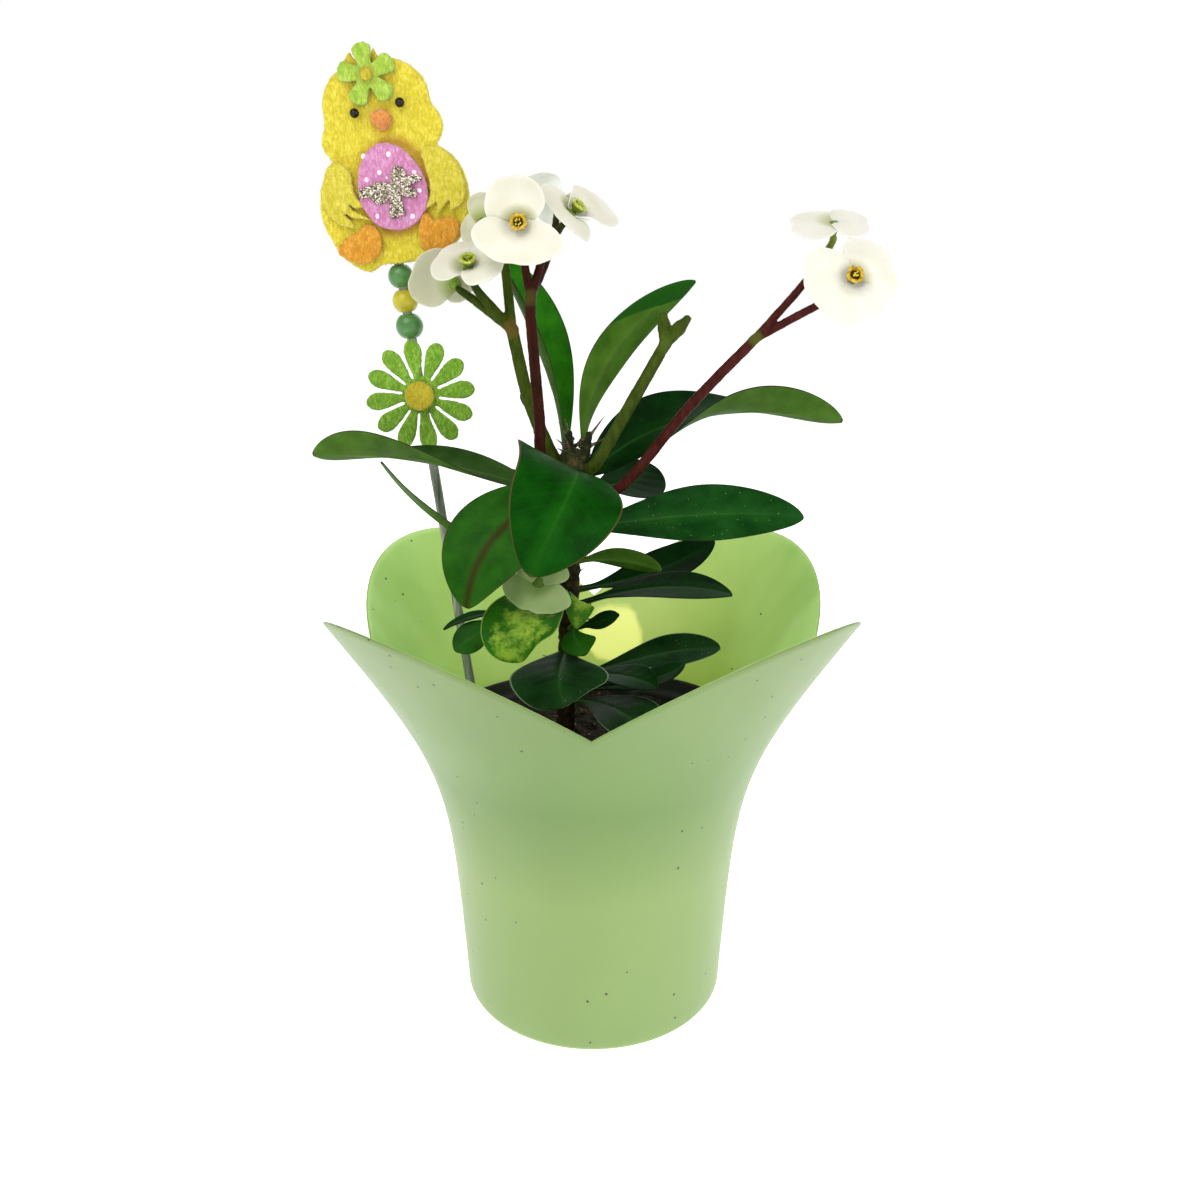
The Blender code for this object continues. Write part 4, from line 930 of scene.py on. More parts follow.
def make_stem(finishes):
    """Main stem with leaf scars, its crown of stubs, thorns and one bare stalk."""
    draw = random.Random(5)
    shape = bmesh.new()
    low, high = STEM[0][0], STEM[-1][0]
    heights = [low + (high - low) * i / STEM_STEPS for i in range(STEM_STEPS + 1)]
    middles = [stem_at(height) for height in heights]
    radii = [radius * (1 + 0.07 * math.sin(height * 1.15)) for height, (_, radius) in zip(heights, middles)]
    add_rod(shape, [point for point, _ in middles], radii, 16, 0.4)
    for _ in range(SCARS):
        middle, radius = stem_at(draw.uniform(*SCAR_HEIGHTS))
        out = along_z(draw.uniform(0, math.tau), 0.2)
        add_blob(shape, middle + out * radius * 0.9, SCAR_SIZE, out)
    for (x, y), tip, radius in CROWN_STUBS:
        foot = Vector((STEM[-1][1] + x, STEM[-1][2] + y, STUB_FOOT))
        top = Vector((STEM[-1][1] + tip[0], STEM[-1][2] + tip[1], tip[2]))
        add_rod(shape, [foot, foot.lerp(top, 0.6), top], (radius, radius * 0.85, radius * 0.6), 10)
    path = smooth_path(list(THIN_STALK), 6)
    add_rod(shape, path, [0.95 - 0.2 * i / len(path) for i in range(len(path))], 10)
    top = THIN_STALK[-1]
    for lean in (-1.6, 1.4):
        tip = top + Vector((lean, -0.6, 3.0))
        foot = top + Vector((0, 0, -2.0))
        add_rod(shape, [foot, foot.lerp(tip, 0.55), tip], (0.8, 1.05, 0.45), 10, 1.0)
    body = skin_over(from_shape("stem_body", shape, finishes["bark"]), 0.42, 2)
    roughen(body, (0.35, 2.0), (0.18, 0.8))
    thorns = bmesh.new()
    for height, azimuth, length, rise in SPINES:
        middle, radius = stem_at(height)
        out = along_z(math.radians(azimuth), 0)
        tip = middle + out * (radius + length) + Vector((0, 0, rise))
        add_spine(thorns, middle + out * (radius - 0.8), tip)
    for ends in CROWN_SPINES:
        add_spine(thorns, *map(Vector, ends))
    for _ in range(SMALL_SPINES):
        angle, height = draw.uniform(0, math.tau), draw.uniform(*SMALL_SPINE_HEIGHTS)
        middle, radius = stem_at(min(height, 180))
        out = along_z(angle, draw.uniform(0.1, 1.0)).normalized()
        foot = Vector((middle.x, middle.y, height - 1)) + out * radius * 0.7
        add_spine(thorns, foot, foot + out * draw.uniform(*SMALL_SPINE_LENGTHS))
    hand_over(join([body, from_shape("thorns", thorns, finishes["thorn"])]), "main_stem", "bark")


# Curl of a leaf's margins in degrees, a corner drawn out of a margin (where, how long and how far
# it leans back), and a leaf's least half width.
LEAF_CURL = 14.0
CORNER_PLACE = 0.32
CORNER_LENGTH = 0.15
CORNER_BACK = 0.6
LEAF_LEAST = 0.25


def bend(root, middle, tip, t):
    """Point and direction at t on the curve through root, middle and tip."""
    pull = 2 * middle - (root + tip) / 2
    point = (1 - t) ** 2 * root + 2 * t * (1 - t) * pull + t**2 * tip
    direction = 2 * (1 - t) * (pull - root) + 2 * t * (tip - pull)
    return point, direction.normalized()


def blade_width(t, widest, swell, foot):
    """Half width along a leaf as a part of its widest, narrowing to its foot and its pointed tip."""
    bulge = math.sin(math.pi * min(1.0, t) ** (math.log(0.5) / math.log(widest)))
    power = swell if t < widest else 0.62
    return max(foot * (1 - t) ** 0.5, max(bulge, 0.0) ** power)


def leaf_half(leaf, v):
    """Half width of a leaf at v."""
    half = leaf["width"] / 2
    return half * blade_width(v, leaf.get("widest", 0.6), leaf.get("swell", 1.15), 1.1 / half)


def leaf_frame(leaf, v):
    """Midrib point, direction, way across and upper side of a leaf at v."""
    line = leaf["foot"], Vector(leaf["middle"]), Vector(leaf["tip"])
    point, direction = bend(*line, v)
    _, main = bend(*line, 0.5)
    across = main.cross(Vector(leaf["facing"])).normalized()
    across = (across - direction * across.dot(direction)).normalized()
    twist = leaf.get("twist", 0) * (v - leaf.get("pivot", 0.5))
    across = Matrix.Rotation(math.radians(twist), 3, direction) @ across
    return point, direction, across, across.cross(direction)


def leaf_point(leaf, u, v):
    """Surface of a leaf: u crosses it from margin to margin, v runs from its foot to its tip."""
    point, direction, across, up = leaf_frame(leaf, v)
    side = 2 * u - 1
    width = max(leaf_half(leaf, v), LEAF_LEAST)
    away = abs(side) * width
    curl = math.radians(leaf.get("curl", LEAF_CURL))
    out = width * math.sin(curl * side) / curl
    rise = width * (1 - math.cos(curl * side)) / curl
    place = (v - CORNER_PLACE) / CORNER_LENGTH
    corner = leaf.get("corner", 0.0) * max(0.0, side) ** 3 * math.exp(-(place**2))
    ripple = 0.035 * width * math.sin(9 * v + 2.3 * leaf["seed"] + 1.5 * side) * abs(side) ** 3
    wave = math.sin((v * leaf["long"] - VEIN_SLANT * away) * math.tau / VEIN_STEP)
    quilt = 0.10 * wave * min(1.0, away / 2)
    groove = 0.38 * math.exp(-((away / 0.75) ** 2)) * (1 - 0.7 * v)
    lift = rise + ripple + quilt * (1 - abs(side)) ** 0.5 - groove
    return point + across * (out + corner) + up * lift - direction * corner * CORNER_BACK


def leaf_thickness(leaf, u, v):
    """Upper and lower half of a leaf: a thick foot, a ridge under the midrib and thin margins."""
    side = abs(2 * u - 1)
    stalk = 0.9 * math.exp(-v / 0.07) * (1 - side)
    ridge = 0.42 * math.exp(-((side * leaf_half(leaf, v) / 0.8) ** 2)) * (1 - 0.75 * v)
    thin = 0.30 - 0.16 * side**4
    return thin + stalk * 0.6, thin + ridge + stalk


def leaf_facts(leaf, u, v):
    """Millimetres from the midrib and along, nearness to the margin, and how much midrib is left."""
    side = 2 * u - 1
    margin = max(abs(side), 1.0 if v > 0.985 else 0.0)
    return (side * leaf_half(leaf, v), v * leaf["long"], margin), 1 - v


def a_leaf(start, middle, tip, width, facing, look, **shape):
    """A row of the leaf tables.

    Start is the height where the leaf leaves the stem, or its foot; middle is half way along its
    midrib; facing is the way that its upper face looks.
    """
    return dict(shape, start=start, middle=middle, tip=tip, width=width, facing=facing, look=look)


LEAVES = {
    "leaf_left_long": a_leaf(167, (-49, 0, 178), (-84, -4, 181), 25, (0, 0, 1), "olive", widest=0.6,
        swell=1.0, twist=110, curl=40),
    "leaf_left_dark": a_leaf(163, (-22, 5, 171), (-33, 7, 174), 9, (0.1, -0.3, 0.9), "dark"),
    "leaf_left_edge_on": a_leaf(139, (-44, 7, 155), (-66, 8, 177), 15, (0.68, 0.3, 0.64), "dark"),
    "leaf_left_oval": a_leaf(170, (-29, -16, 158), (-37, -22, 138), 28, (-0.3, -0.85, 0.45),
        "red_ribbed", widest=0.5, swell=0.6),
    "leaf_front_big": a_leaf(174, (-5.5, -28, 175.5), (-17, -42, 153), 32, (0.35, -0.35, 0.93), "bright",
        widest=0.6, corner=10.0),
    "leaf_right_glossy": a_leaf(157, (33, -2, 162), (64, -6, 162), 22, (0.05, -0.65, 0.76), "glossy",
        widest=0.54, swell=0.85),
    "leaf_right_twisted": a_leaf(174, (33, 12, 190.5), (78, 12, 189), 28, (0, 0.1, 1), "dark",
        widest=0.55, swell=0.5, twist=-130, pivot=0.62, curl=50),
    "leaf_upright_right": a_leaf(178, (4.5, 10, 207.5), (31, 12, 231), 14.5, (-0.5, 0.8, 0.25), "folded",
        widest=0.58),
    "leaf_upright_back": a_leaf(176, (-15, 17, 208), (-31, 19, 240), 24, (0.9, -0.4, 0.2), "upright",
        curl=65),
    "leaf_right_back": a_leaf(171, (11, 12, 170), (19, 22, 174), 21, (0.3, -0.5, 0.8), "dark"),
    "leaf_small_olive": a_leaf(147, (8, -6, 149), (21, -8, 146), 11, (0, 0.8, 0.6), "olive"),
    "leaf_right_dark": a_leaf(137, (19, 14, 140), (40, 20, 149), 16, (-0.3, -0.6, 0.75), "dark"),
    "leaf_right_slim": a_leaf(132, (21, 2, 138), (44, 0, 136), 15, (0, -0.35, 0.93), "dark"),
    "leaf_low_right": a_leaf(106, (22, 10, 113), (42, 10, 115), 14, (0, -0.5, 0.87), "grey"),
    "leaf_low_right_dark": a_leaf(102, (17, -3, 108.5), (29, -4, 115), 10, (0.2, -0.4, 0.85), "dark"),
    "leaf_low_middle": a_leaf(108, (9, -8, 112), (20, -14, 110), 13, (0.2, -0.4, 0.9), "dark"),
    "leaf_low_front": a_leaf(118, (-10, -22, 117), (-8, -32, 111), 30, (0, -0.35, 0.93), "grey"),
    "leaf_low_cupped": a_leaf(99, (9, -14, 102), (17, -24, 95), 21, (0.1, -0.4, 0.9), "grey"),
    "leaf_variegated": a_leaf(138, (-21.5, -18, 132), (-21, -24, 122), 24, (-0.1, -0.6, 0.8), "marbled",
        widest=0.5, swell=0.7),
}


def make_blade(leaf, foot, seed, looks, across=18, along=30):
    """One leaf, in the finishes of its look."""
    middle, tip = Vector(leaf["middle"]), Vector(leaf["tip"])
    long = (middle - foot).length + (tip - middle).length
    leaf = dict(leaf, foot=foot, seed=seed, long=long)
    rules = [partial(rule, leaf) for rule in (leaf_point, leaf_thickness, leaf_facts)]
    return blade_mesh("blade", across, along, *rules, looks[leaf["look"]])


def make_leaves(looks):
    for seed, (name, leaf) in enumerate(LEAVES.items()):
        foot = stem_side(leaf["start"], leaf["middle"], -1.6)
        hand_over(make_blade(leaf, foot, seed, looks), name, "leaf")


# Side shoots: a twig that grows from the stem, and the small leaves on it.
SHOOTS = {
    "shoot_left": dict(
        height=127, twig=((-18, 4, 128), (-28, 3, 129)),
        leaves=(
            a_leaf((-27, 3, 129), (-38, 4, 128), (-48, 2, 124), 6, (0, -0.2, 1), "dark"),
            a_leaf((-27, 2, 128), (-37, 0, 123), (-44, -2, 118), 11, (-0.3, -0.8, 0.5), "plain"),
        ),
    ),
    "shoot_front": dict(
        height=124, twig=((-6, -3, 127), (-5, -6, 131)),
        leaves=(
            a_leaf((-5, -5, 130), (-4, -10, 137), (-5, -13, 129), 10, (0.3, -0.9, 0.3), "marbled"),
            a_leaf((-6, -4, 127), (-5, -10, 124), (-2, -14, 121), 12, (0.2, -0.8, 0.5), "plain"),
            a_leaf((-5, -4, 127), (2, -6, 129), (8, -8, 132), 7, (-0.2, -0.6, 0.8), "dark"),
        ),
    ),
}
TWIG_RADIUS = 1.1


def make_shoots(looks, twig):
    for name, shoot in SHOOTS.items():
        root = stem_side(shoot["height"], shoot["twig"][0], -1.5)
        path = smooth_path([root, *map(Vector, shoot["twig"])], 6)
        shape = bmesh.new()
        add_rod(shape, path, [TWIG_RADIUS * (1.15 - 0.3 * i / len(path)) for i in range(len(path))], 12)
        pieces = [from_shape("twig", shape, twig)]
        for seed, leaf in enumerate(shoot["leaves"], 31):
            pieces.append(make_blade(leaf, Vector(leaf["start"]), seed, looks, 12, 18))
        hand_over(join(pieces), name, "leaf")


# Blooms and flower stalks.


def a_bract(length, half, roll, **shape):
    """A row of the bract tables: its reach, half its width, and its turn round the bloom."""
    return dict(shape, length=length, half=half, roll=roll)


# Blooms: centre, the way each one faces, and its two bracts. Some have a look, neck radii, a cup of
# glands, a kind of their own or a pedicel: the height where it leaves the stem, and its knee.
BLOOMS = {
    "bloom_front": dict(
        centre=(-20, -12, 245), facing=(-0.05, -0.95, 0.25),
        glands="gold",
        bracts=(
            a_bract(14.4, 8.4, 13, belly=0.42, wrap=(112, 112)),
            a_bract(11.4, 13.6, 172, belly=0.12, lift=1.3, wrap=(96, 128)),
        ),
    ),
    "bloom_left": dict(
        centre=(-35, -3, 234), facing=(-0.1, -0.65, 0.75),
        glands="green",
        bracts=(
            a_bract(12.0, 9.0, 66, belly=0.3, cup=2.8, wrap=(108, 112)),
            a_bract(11.0, 9.2, -98, belly=0.25, lift=1.3, cup=2.8),
        ),
    ),
    "bloom_left_back": dict(
        centre=(-41.5, 12, 230), facing=(-0.35, 0.8, 0.3),
        look="shaded",
        bracts=(
            a_bract(14.5, 9.0, -78, belly=0.42),
            a_bract(7.0, 5.6, 120, belly=0.3, lift=1.1),
        ),
    ),
    "bloom_top_right": dict(
        centre=(-6, 1, 249), facing=(0.62, -0.38, 0.68),
        glands="green",
        bracts=(
            a_bract(11.0, 11.0, 88, belly=0.15),
            a_bract(15.5, 8.0, -98, belly=0.4, lift=1.1, cup=3.5, recurve=0.0),
        ),
    ),
    "bloom_top_back": dict(
        centre=(-10, 15, 254), facing=(0.1, 0.62, 0.75),
        bracts=(
            a_bract(12.0, 9.5, 165, belly=0.3),
            a_bract(12.5, 8.0, -80, belly=0.35, lift=1.1),
        ),
    ),
    "bloom_right_top": dict(
        centre=(68, -6, 246), facing=(0.0, -0.42, 0.91),
        look="white_hearted", neck=(1.05, 1.2, 1.4, 1.1),
        bracts=(
            a_bract(12.5, 10.5, 85, belly=0.28, cup=1.2),
            a_bract(9.8, 10.5, -95, belly=0.15, lift=1.1, cup=1.2),
        ),
    ),
    "bloom_right_front": dict(
        centre=(70.5, -20, 230.5), facing=(0.1, -0.9, 0.4),
        look="white_hearted", glands="gold",
        bracts=(
            a_bract(13.2, 11.5, -75, belly=0.15, wrap=(100, 100)),
            a_bract(14.0, 13.6, 128, belly=0.08, lift=1.3, wrap=(128, 118)),
        ),
    ),
    "bloom_behind": dict(
        centre=(-32, 8, 247), facing=(0.15, 0.9, 0.3),
        look="shaded",
        bracts=(
            a_bract(9.0, 6.5, 25, belly=0.35),
            a_bract(9.5, 5.5, -140, belly=0.35, lift=1.2),
        ),
    ),
    "bloom_low": dict(
        centre=(-16, -14, 144), facing=(-0.1, -0.8, 0.55),
        kind="pale_bract", pedicel=(145, (-12.5, -6.5, 144.5)),
        bracts=(
            a_bract(9.8, 11.5, 165, belly=0.12, cup=1.5),
            a_bract(9.0, 8.5, -10, belly=0.3, lift=1.1, cup=1.5),
        ),
    ),
}


def bloom_axes(bloom, roll):
    """Direction that a bract points in, across it, and the way its bloom looks."""
    facing = Vector(bloom["facing"]).normalized()
    upright = Vector((0, 0, 1)) - facing * facing.z
    axis = Matrix.Rotation(math.radians(roll), 3, facing) @ upright.normalized()
    return axis, facing.cross(axis), facing


def bract_reach(bract, angle):
    """How far a bract reaches at an angle from its axis: an oval, narrower at its ears."""
    belly = bract.get("belly", BRACT_BELLY) * bract["length"]
    long, half = bract["length"] - belly, bract["half"]
    forward, sideways = math.cos(angle), math.sin(angle)
    a = (forward / long) ** 2 + (sideways / half) ** 2
    b = forward * belly / long**2
    c = (belly / long) ** 2 - 1
    reach = (b + math.sqrt(b * b - a * c)) / a
    ear = (abs(math.degrees(angle)) - BRACT_EAR) / BRACT_EAR_FADE
    ear = min(1.0, max(0.0, ear))
    notch = 0.06 * math.exp(-((angle / math.radians(9)) ** 2))
    wavy = 0.013 * math.sin(5 * angle + bract["roll"]) + 0.008 * math.sin(12 * angle + bract["half"])
    return reach * (1 - BRACT_EAR_LOSS * ear * ear * (3 - 2 * ear)) * (1 - notch + wavy)


def bract_angle(bract, u):
    """How far round its bloom's middle a bract is at u."""
    low, high = bract.get("wrap", BRACT_WRAP)
    return math.radians(-low + (low + high) * u)


def bract_point(bloom, bract, u, v):
    """Surface of a bract: it wraps round its bloom's middle, rises as a funnel and turns back."""
    axis, across, facing = bloom_axes(bloom, bract["roll"])
    angle = bract_angle(bract, u)
    reach = BRACT_CLAW + max(bract_reach(bract, angle) - BRACT_CLAW, BRACT_LEAST) * v
    out = axis * math.cos(angle) + across * math.sin(angle)
    part = min(1.0, (reach - BRACT_CLAW) / BRACT_FUNNEL)
    far = (reach / bract["length"]) ** 2
    rise = bract.get("cup", BRACT_CUP) * (1 - math.cos(part * math.pi)) / 2
    rise -= bract.get("recurve", BRACT_RECURVE) * far
    rise += bract.get("lift", 0.0) * (CLAW_LIFT + (1 - CLAW_LIFT) * part)
    rise += 0.3 * math.sin(3 * angle + bract["roll"]) * far + 0.05 * math.sin(17 * angle) * far
    rise -= 0.25 * math.exp(-((angle / 0.09) ** 2)) * math.exp(-((part - 0.6) / 0.4) ** 2)
    return Vector(bloom["centre"]) + out * reach + facing * rise


def bract_thickness(u, v):
    """Upper and lower half of a bract: thicker at its claw, thin at its margin."""
    half = 0.25 - 0.10 * max(v, abs(2 * u - 1) ** 6) ** 3 + 0.28 * math.exp(-v / 0.08)
    return half, half


def bract_facts(bract, order, u, v):
    """Angle, distance from the middle, nearness to the margin, and how much crease is left."""
    angle = bract_angle(bract, u)
    far = BRACT_CLAW + (bract_reach(bract, angle) - BRACT_CLAW) * v
    # The second bract's distance is kept 6 mm further out, so that the heart's painted shade falls on the
    # first bract only.
    return (angle, far + 6.0 * order, max(abs(2 * u - 1) ** 8, v)), 1 - v


def make_bloom(name, bloom, finishes, glands):
    """Two bracts on a short neck, and the cup of glands between them."""
    kind = bloom.get("kind", "bract")
    centre, facing = Vector(bloom["centre"]), Vector(bloom["facing"]).normalized()
    *sides, neck_finish = finishes[bloom.get("look", kind)]
    neck = bmesh.new()
    points = [centre - facing * (BLOOM_NECK - 3.6 * t) for t in (0.0, 0.35, 0.7, 1.0)]
    add_rod(neck, points, bloom.get("neck", NECK_RADII), 16, 0.3)
    if "pedicel" in bloom:
        height, knee = bloom["pedicel"]
        ends = stem_side(height, knee, -1.0), Vector(knee), centre - facing * (BLOOM_NECK - 0.5)
        path = smooth_path(list(ends), 8)
        add_rod(neck, path, [1.1] * len(path), 12)
    pieces = [from_shape("neck", neck, neck_finish)]
    for i, bract in enumerate(bloom["bracts"]):
        pieces.append(blade_mesh(
            "bract", 36, 16, partial(bract_point, bloom, bract), bract_thickness,
            partial(bract_facts, bract, i), sides, bunch=1.0, root=0.9,
        ))
    hand_over(join(pieces), name + "_bracts", kind)
    if "glands" in bloom:
        foot = centre + facing * (BLOOM_NECK_TOP + GLAND_SEAT + GAP)
        make_glands(name + "_glands", foot, facing, glands[bloom["glands"]])


# Glands: how far over the neck their cup is seated, how many lips it has and how far out they
# stand, how many steps draw each lip, and how many stamens are inside.
GLAND_SEAT = 0.6
GLAND_LIPS = 5
GLAND_RING = 1.95
LIP_STEPS = 8
STAMENS = 6
# The cup's wall, as rings: height and radius.
CUP_RINGS = ((0.9, 1.35), (1.4, 1.55), (1.9, 1.75), (2.25, 1.85))


def make_glands(name, foot, facing, finish):
    """The cup in the middle of a bloom: five uneven swollen lips round a tuft of stamens."""
    dice = random.Random(name)
    shape = bmesh.new()
    start = facing.orthogonal().normalized()

    def around(turn, far, high):
        return foot + facing * high + Matrix.Rotation(math.tau * turn, 3, facing) @ start * far

    add_rod(shape, [foot + facing * 0.05, foot + facing * 1.0], (1.1, 1.5), 18, 0.1)
    waves = [dice.uniform(-0.18, 0.18) for _ in range(GLAND_LIPS)]
    steps = LIP_STEPS * GLAND_LIPS
    for high, far in CUP_RINGS:
        ring = []
        for i in range(steps + 1):
            swell = math.sin(math.pi * (i % LIP_STEPS) / LIP_STEPS) ** 2
            wave = waves[i // LIP_STEPS % GLAND_LIPS] * swell
            ring.append(around(i / steps, far + wave, high + 0.3 * wave))
        add_rod(shape, ring, [0.45] * len(ring), 10)
    for i in range(GLAND_LIPS):
        for spread in (-0.036, 0.036):
            turn = (i + 0.5 + dice.uniform(-0.1, 0.1)) / GLAND_LIPS + spread
            lobe = around(turn, GLAND_RING + waves[i], 2.35 + dice.uniform(-0.15, 0.2))
            add_blob(shape, lobe, (0.58, 0.56 + dice.uniform(0.0, 0.14), 0.42), facing, 3)
    for i in range(STAMENS):
        turn = (i + dice.uniform(-0.3, 0.3)) / STAMENS
        tip = around(turn, dice.uniform(0.3, 0.95), dice.uniform(2.4, 2.95))
        add_rod(shape, [around(turn, 0.4, 0.8), tip], (0.24, 0.2), 8, 1.0)
        add_blob(shape, tip, (0.26, 0.36, 0.26), facing)
    body = skin_over(from_shape("cup", shape, finish), 0.14, 2)

    def rule(spot):
        off = spot - foot
        low = off.dot(facing)
        out = (off - facing * low).length
        return within((1.45 - out) / 0.3), within((2.2 - low) / 0.45)

    mark(body, rule)
    hand_over(body, name, "gland")


# Flower stalks: they rise from the crown by a route to a fork, with branches on to each bloom or
# with buds (foot, tip and radius).
STALKS = {
    "stalk_front": dict(
        kind="red_stalk",
        height=175,
        radius=1.6,
        route=((-15, -9, 181), (-15.5, -9, 192), (-17.5, -8, 219), (-17.5, -8, 226)),
        branches=(
            ((-19, -8.5, 235), "bloom_front"),
            ((-14, -5, 237), "bloom_top_right"),
            ((-12, 3, 240), "bloom_top_back"),
        ),
    ),
    "stalk_left": dict(
        kind="green_stalk",
        height=176,
        radius=1.9,
        route=((-14, 3, 183), (-19.5, 3, 197), (-24, 4, 217)),
        branches=(
            ((-33, 3, 227), "bloom_left"),
            ((-35.5, 7, 225.5), "bloom_left_back"),
            ((-27, 8, 241), "bloom_behind"),
        ),
    ),
    "stalk_right": dict(
        kind="red_stalk",
        height=172,
        radius=1.5,
        route=((8, -11, 172), (28, -13, 196), (46, -14, 215)),
        branches=(
            ((59, -14, 230), "bloom_right_top"),
            ((62, -18, 224), "bloom_right_front"),
        ),
    ),
    "stalk_buds": dict(
        kind="green_stalk",
        height=176,
        radius=1.8,
        route=((2, -6, 180), (13, -6, 199), (21, -6, 213)),
        branches=(),
        buds=(
            ((21, -6, 213), (20.5, -6, 222), 1.8),
            ((21, -6, 213), (28, -6, 221), 1.8),
        ),
    ),
}


def bloom_neck(bloom):
    """Where a stalk meets the back of a bloom."""
    facing = Vector(bloom["facing"]).normalized()
    return Vector(bloom["centre"]) - facing * (BLOOM_NECK + GAP)


def add_bud(shape, foot, tip, thick):
    """A plump closed flower bud with a pair of small scales at its foot."""
    way = tip - foot
    points = [foot + way * t for t in (0.0, 0.25, 0.5, 0.75, 0.95)]
    add_rod(shape, points, [thick * r for r in (0.75, 1.0, 1.0, 0.88, 0.5)], 14, 0.8)
    side = way.orthogonal().normalized()
    for sign in (-1, 1):
        lower, upper = foot + way * 0.55, foot + way * 0.85
        add_blob(shape, lower + side * sign * thick * 0.55, (thick * 0.5, thick * 0.8, 2.6), way)
        add_blob(shape, upper - side * sign * thick * 0.3, (thick * 0.4, thick * 0.5, 1.8), way)


# A stalk's branches: how thick they start, as a part of its radius, and end, and how far the
# colour under a bloom reaches down them.
BRANCH_START = 0.82
BRANCH_END = 0.95
COLLAR_REACH = 8.0


def make_stalk(name, stalk, finish):
    radius = stalk["radius"]
    route = [Vector(point) for point in stalk["route"]]
    fork = route[-1]
    path = smooth_path([stem_side(stalk["height"], route[0], -0.8), *route], 10)
    shape = bmesh.new()
    add_rod(shape, path, [radius * (1.12 - 0.14 * i / len(path)) for i in range(len(path))], 16)
    collars = []
    for knee, bloom in stalk["branches"]:
        end = bloom_neck(BLOOMS[bloom])
        facing = Vector(BLOOMS[bloom]["facing"]).normalized()
        branch = smooth_path([fork, Vector(knee), end - facing * 2.5, end + facing * 0.2], 8)
        start, last = radius * BRANCH_START, len(branch) - 1
        thin = [start + (BRANCH_END - start) * i / last for i in range(len(branch))]
        add_rod(shape, branch, thin, 14)
        collars.append(end)
    add_blob(shape, fork, (radius * 1.12, radius * 1.12, radius * 0.9), detail=3)
    for foot, tip, thick in stalk.get("buds", ()):
        add_bud(shape, Vector(foot), Vector(tip), thick)
    body = skin_over(from_shape("stalk_body", shape, finish), 0.38, 3)
    roughen(body, (0.10, 2.2), (0.05, 0.7))

    def rule(spot):
        under_bloom = max([near(spot, end, COLLAR_REACH) for end in collars] or [0.0])
        return under_bloom, near(spot, fork, radius * 1.9)

    mark(body, rule)
    hand_over(body, name, stalk["kind"])


# Felt pick.


# A petal's side: how far out, as a share of its reach, and how wide, as a share of its width.
PETAL_SIDE = ((0.34, 0.2), (0.46, 0.29), (0.68, 0.47), (0.84, 0.5), (0.95, 0.32))


def petal_ring(count, inner, reach, width, start, neck=0.0):
    """Outline of a flower cut from felt: count round-ended petals, and a corner between each two."""
    outline = []
    for i in range(count):
        angle = math.radians(start) + math.tau * i / count
        out = Vector((math.cos(angle), math.sin(angle)))
        side = Vector((-out.y, out.x))
        outline.append(Matrix.Rotation(-math.pi / count, 2) @ out * inner)
        sides = [
            (reach * far, width * (wide + neck * (0.5 - wide) * (far < 0.6))) for far, wide in PETAL_SIDE
        ]
        outline += [out * far - side * wide for far, wide in sides]
        outline.append(out * reach)
        outline += [out * far + side * wide for far, wide in reversed(sides)]
    return [tuple(point) for point in outline]


def petal_corners(petals):
    """Which points of a flower's outline are the corners between its petals."""
    step = 2 * len(PETAL_SIDE) + 2
    return range(0, step * petals["count"], step)


CHICK_OUTLINE = (
    (0.8, 29.8), (4.3, 29.5), (8.2, 28.3), (12.5, 25.6), (14.8, 22.0), (16.0, 17.4), (18.6, 13.8),
    (19.1, 10.0), (17.0, 5.6), (21.8, 2.5), (24.6, -0.8), (26.2, -6.0), (26.4, -12.0),
    (24.0, -20.5), (18.8, -25.0), (12.8, -27.2), (3.0, -28.9), (-1.2, -29.4), (-4.6, -31.3),
    (-9.5, -29.8), (-14.4, -25.0), (-18.2, -17.6), (-19.0, -11.5), (-17.8, -5.0), (-14.4, 0.6),
    (-17.4, 5.0), (-16.2, 11.4), (-16.5, 16.5), (-14.6, 22.6), (-10.6, 26.6), (-8.9, 29.0),
    (-7.7, 30.8), (-6.3, 29.0), (-1.9, 29.8), (-0.4, 31.8),
)
CHICK_CORNERS = (8, 24, 31, 34)
LEFT_WING = (
    (-14.1, -0.2), (-11.5, -0.9), (-9.4, -2.9), (-8.8, -6.6), (-7.8, -9.9), (-5.6, -12.6),
    (-8.2, -12.9), (-12.0, -10.2), (-12.3, -10.7), (-8.9, -13.9), (-4.2, -16.2), (-9.4, -15.6),
    (-13.4, -12.7), (-13.8, -13.2), (-10.0, -16.7), (-9.0, -18.6), (-13.4, -17.4), (-17.4, -12.5),
    (-17.4, -6.5),
)
RIGHT_WING = (
    (16.6, 4.6), (20.4, 3.0), (24.0, -1.2), (25.4, -6.0), (25.2, -10.6), (21.4, -13.6),
    (21.4, -10.8), (21.7, -4.2), (21.2, -4.2), (20.5, -10.6), (17.2, -14.4), (17.4, -11.5), (18.0, -5.4),
    (17.5, -5.4), (16.5, -11.2), (13.8, -12.8), (15.3, -9.4), (15.4, -6.0), (14.2, -1.0), (13.6, 3.6),
)
WING_CORNERS = range(5, 16)
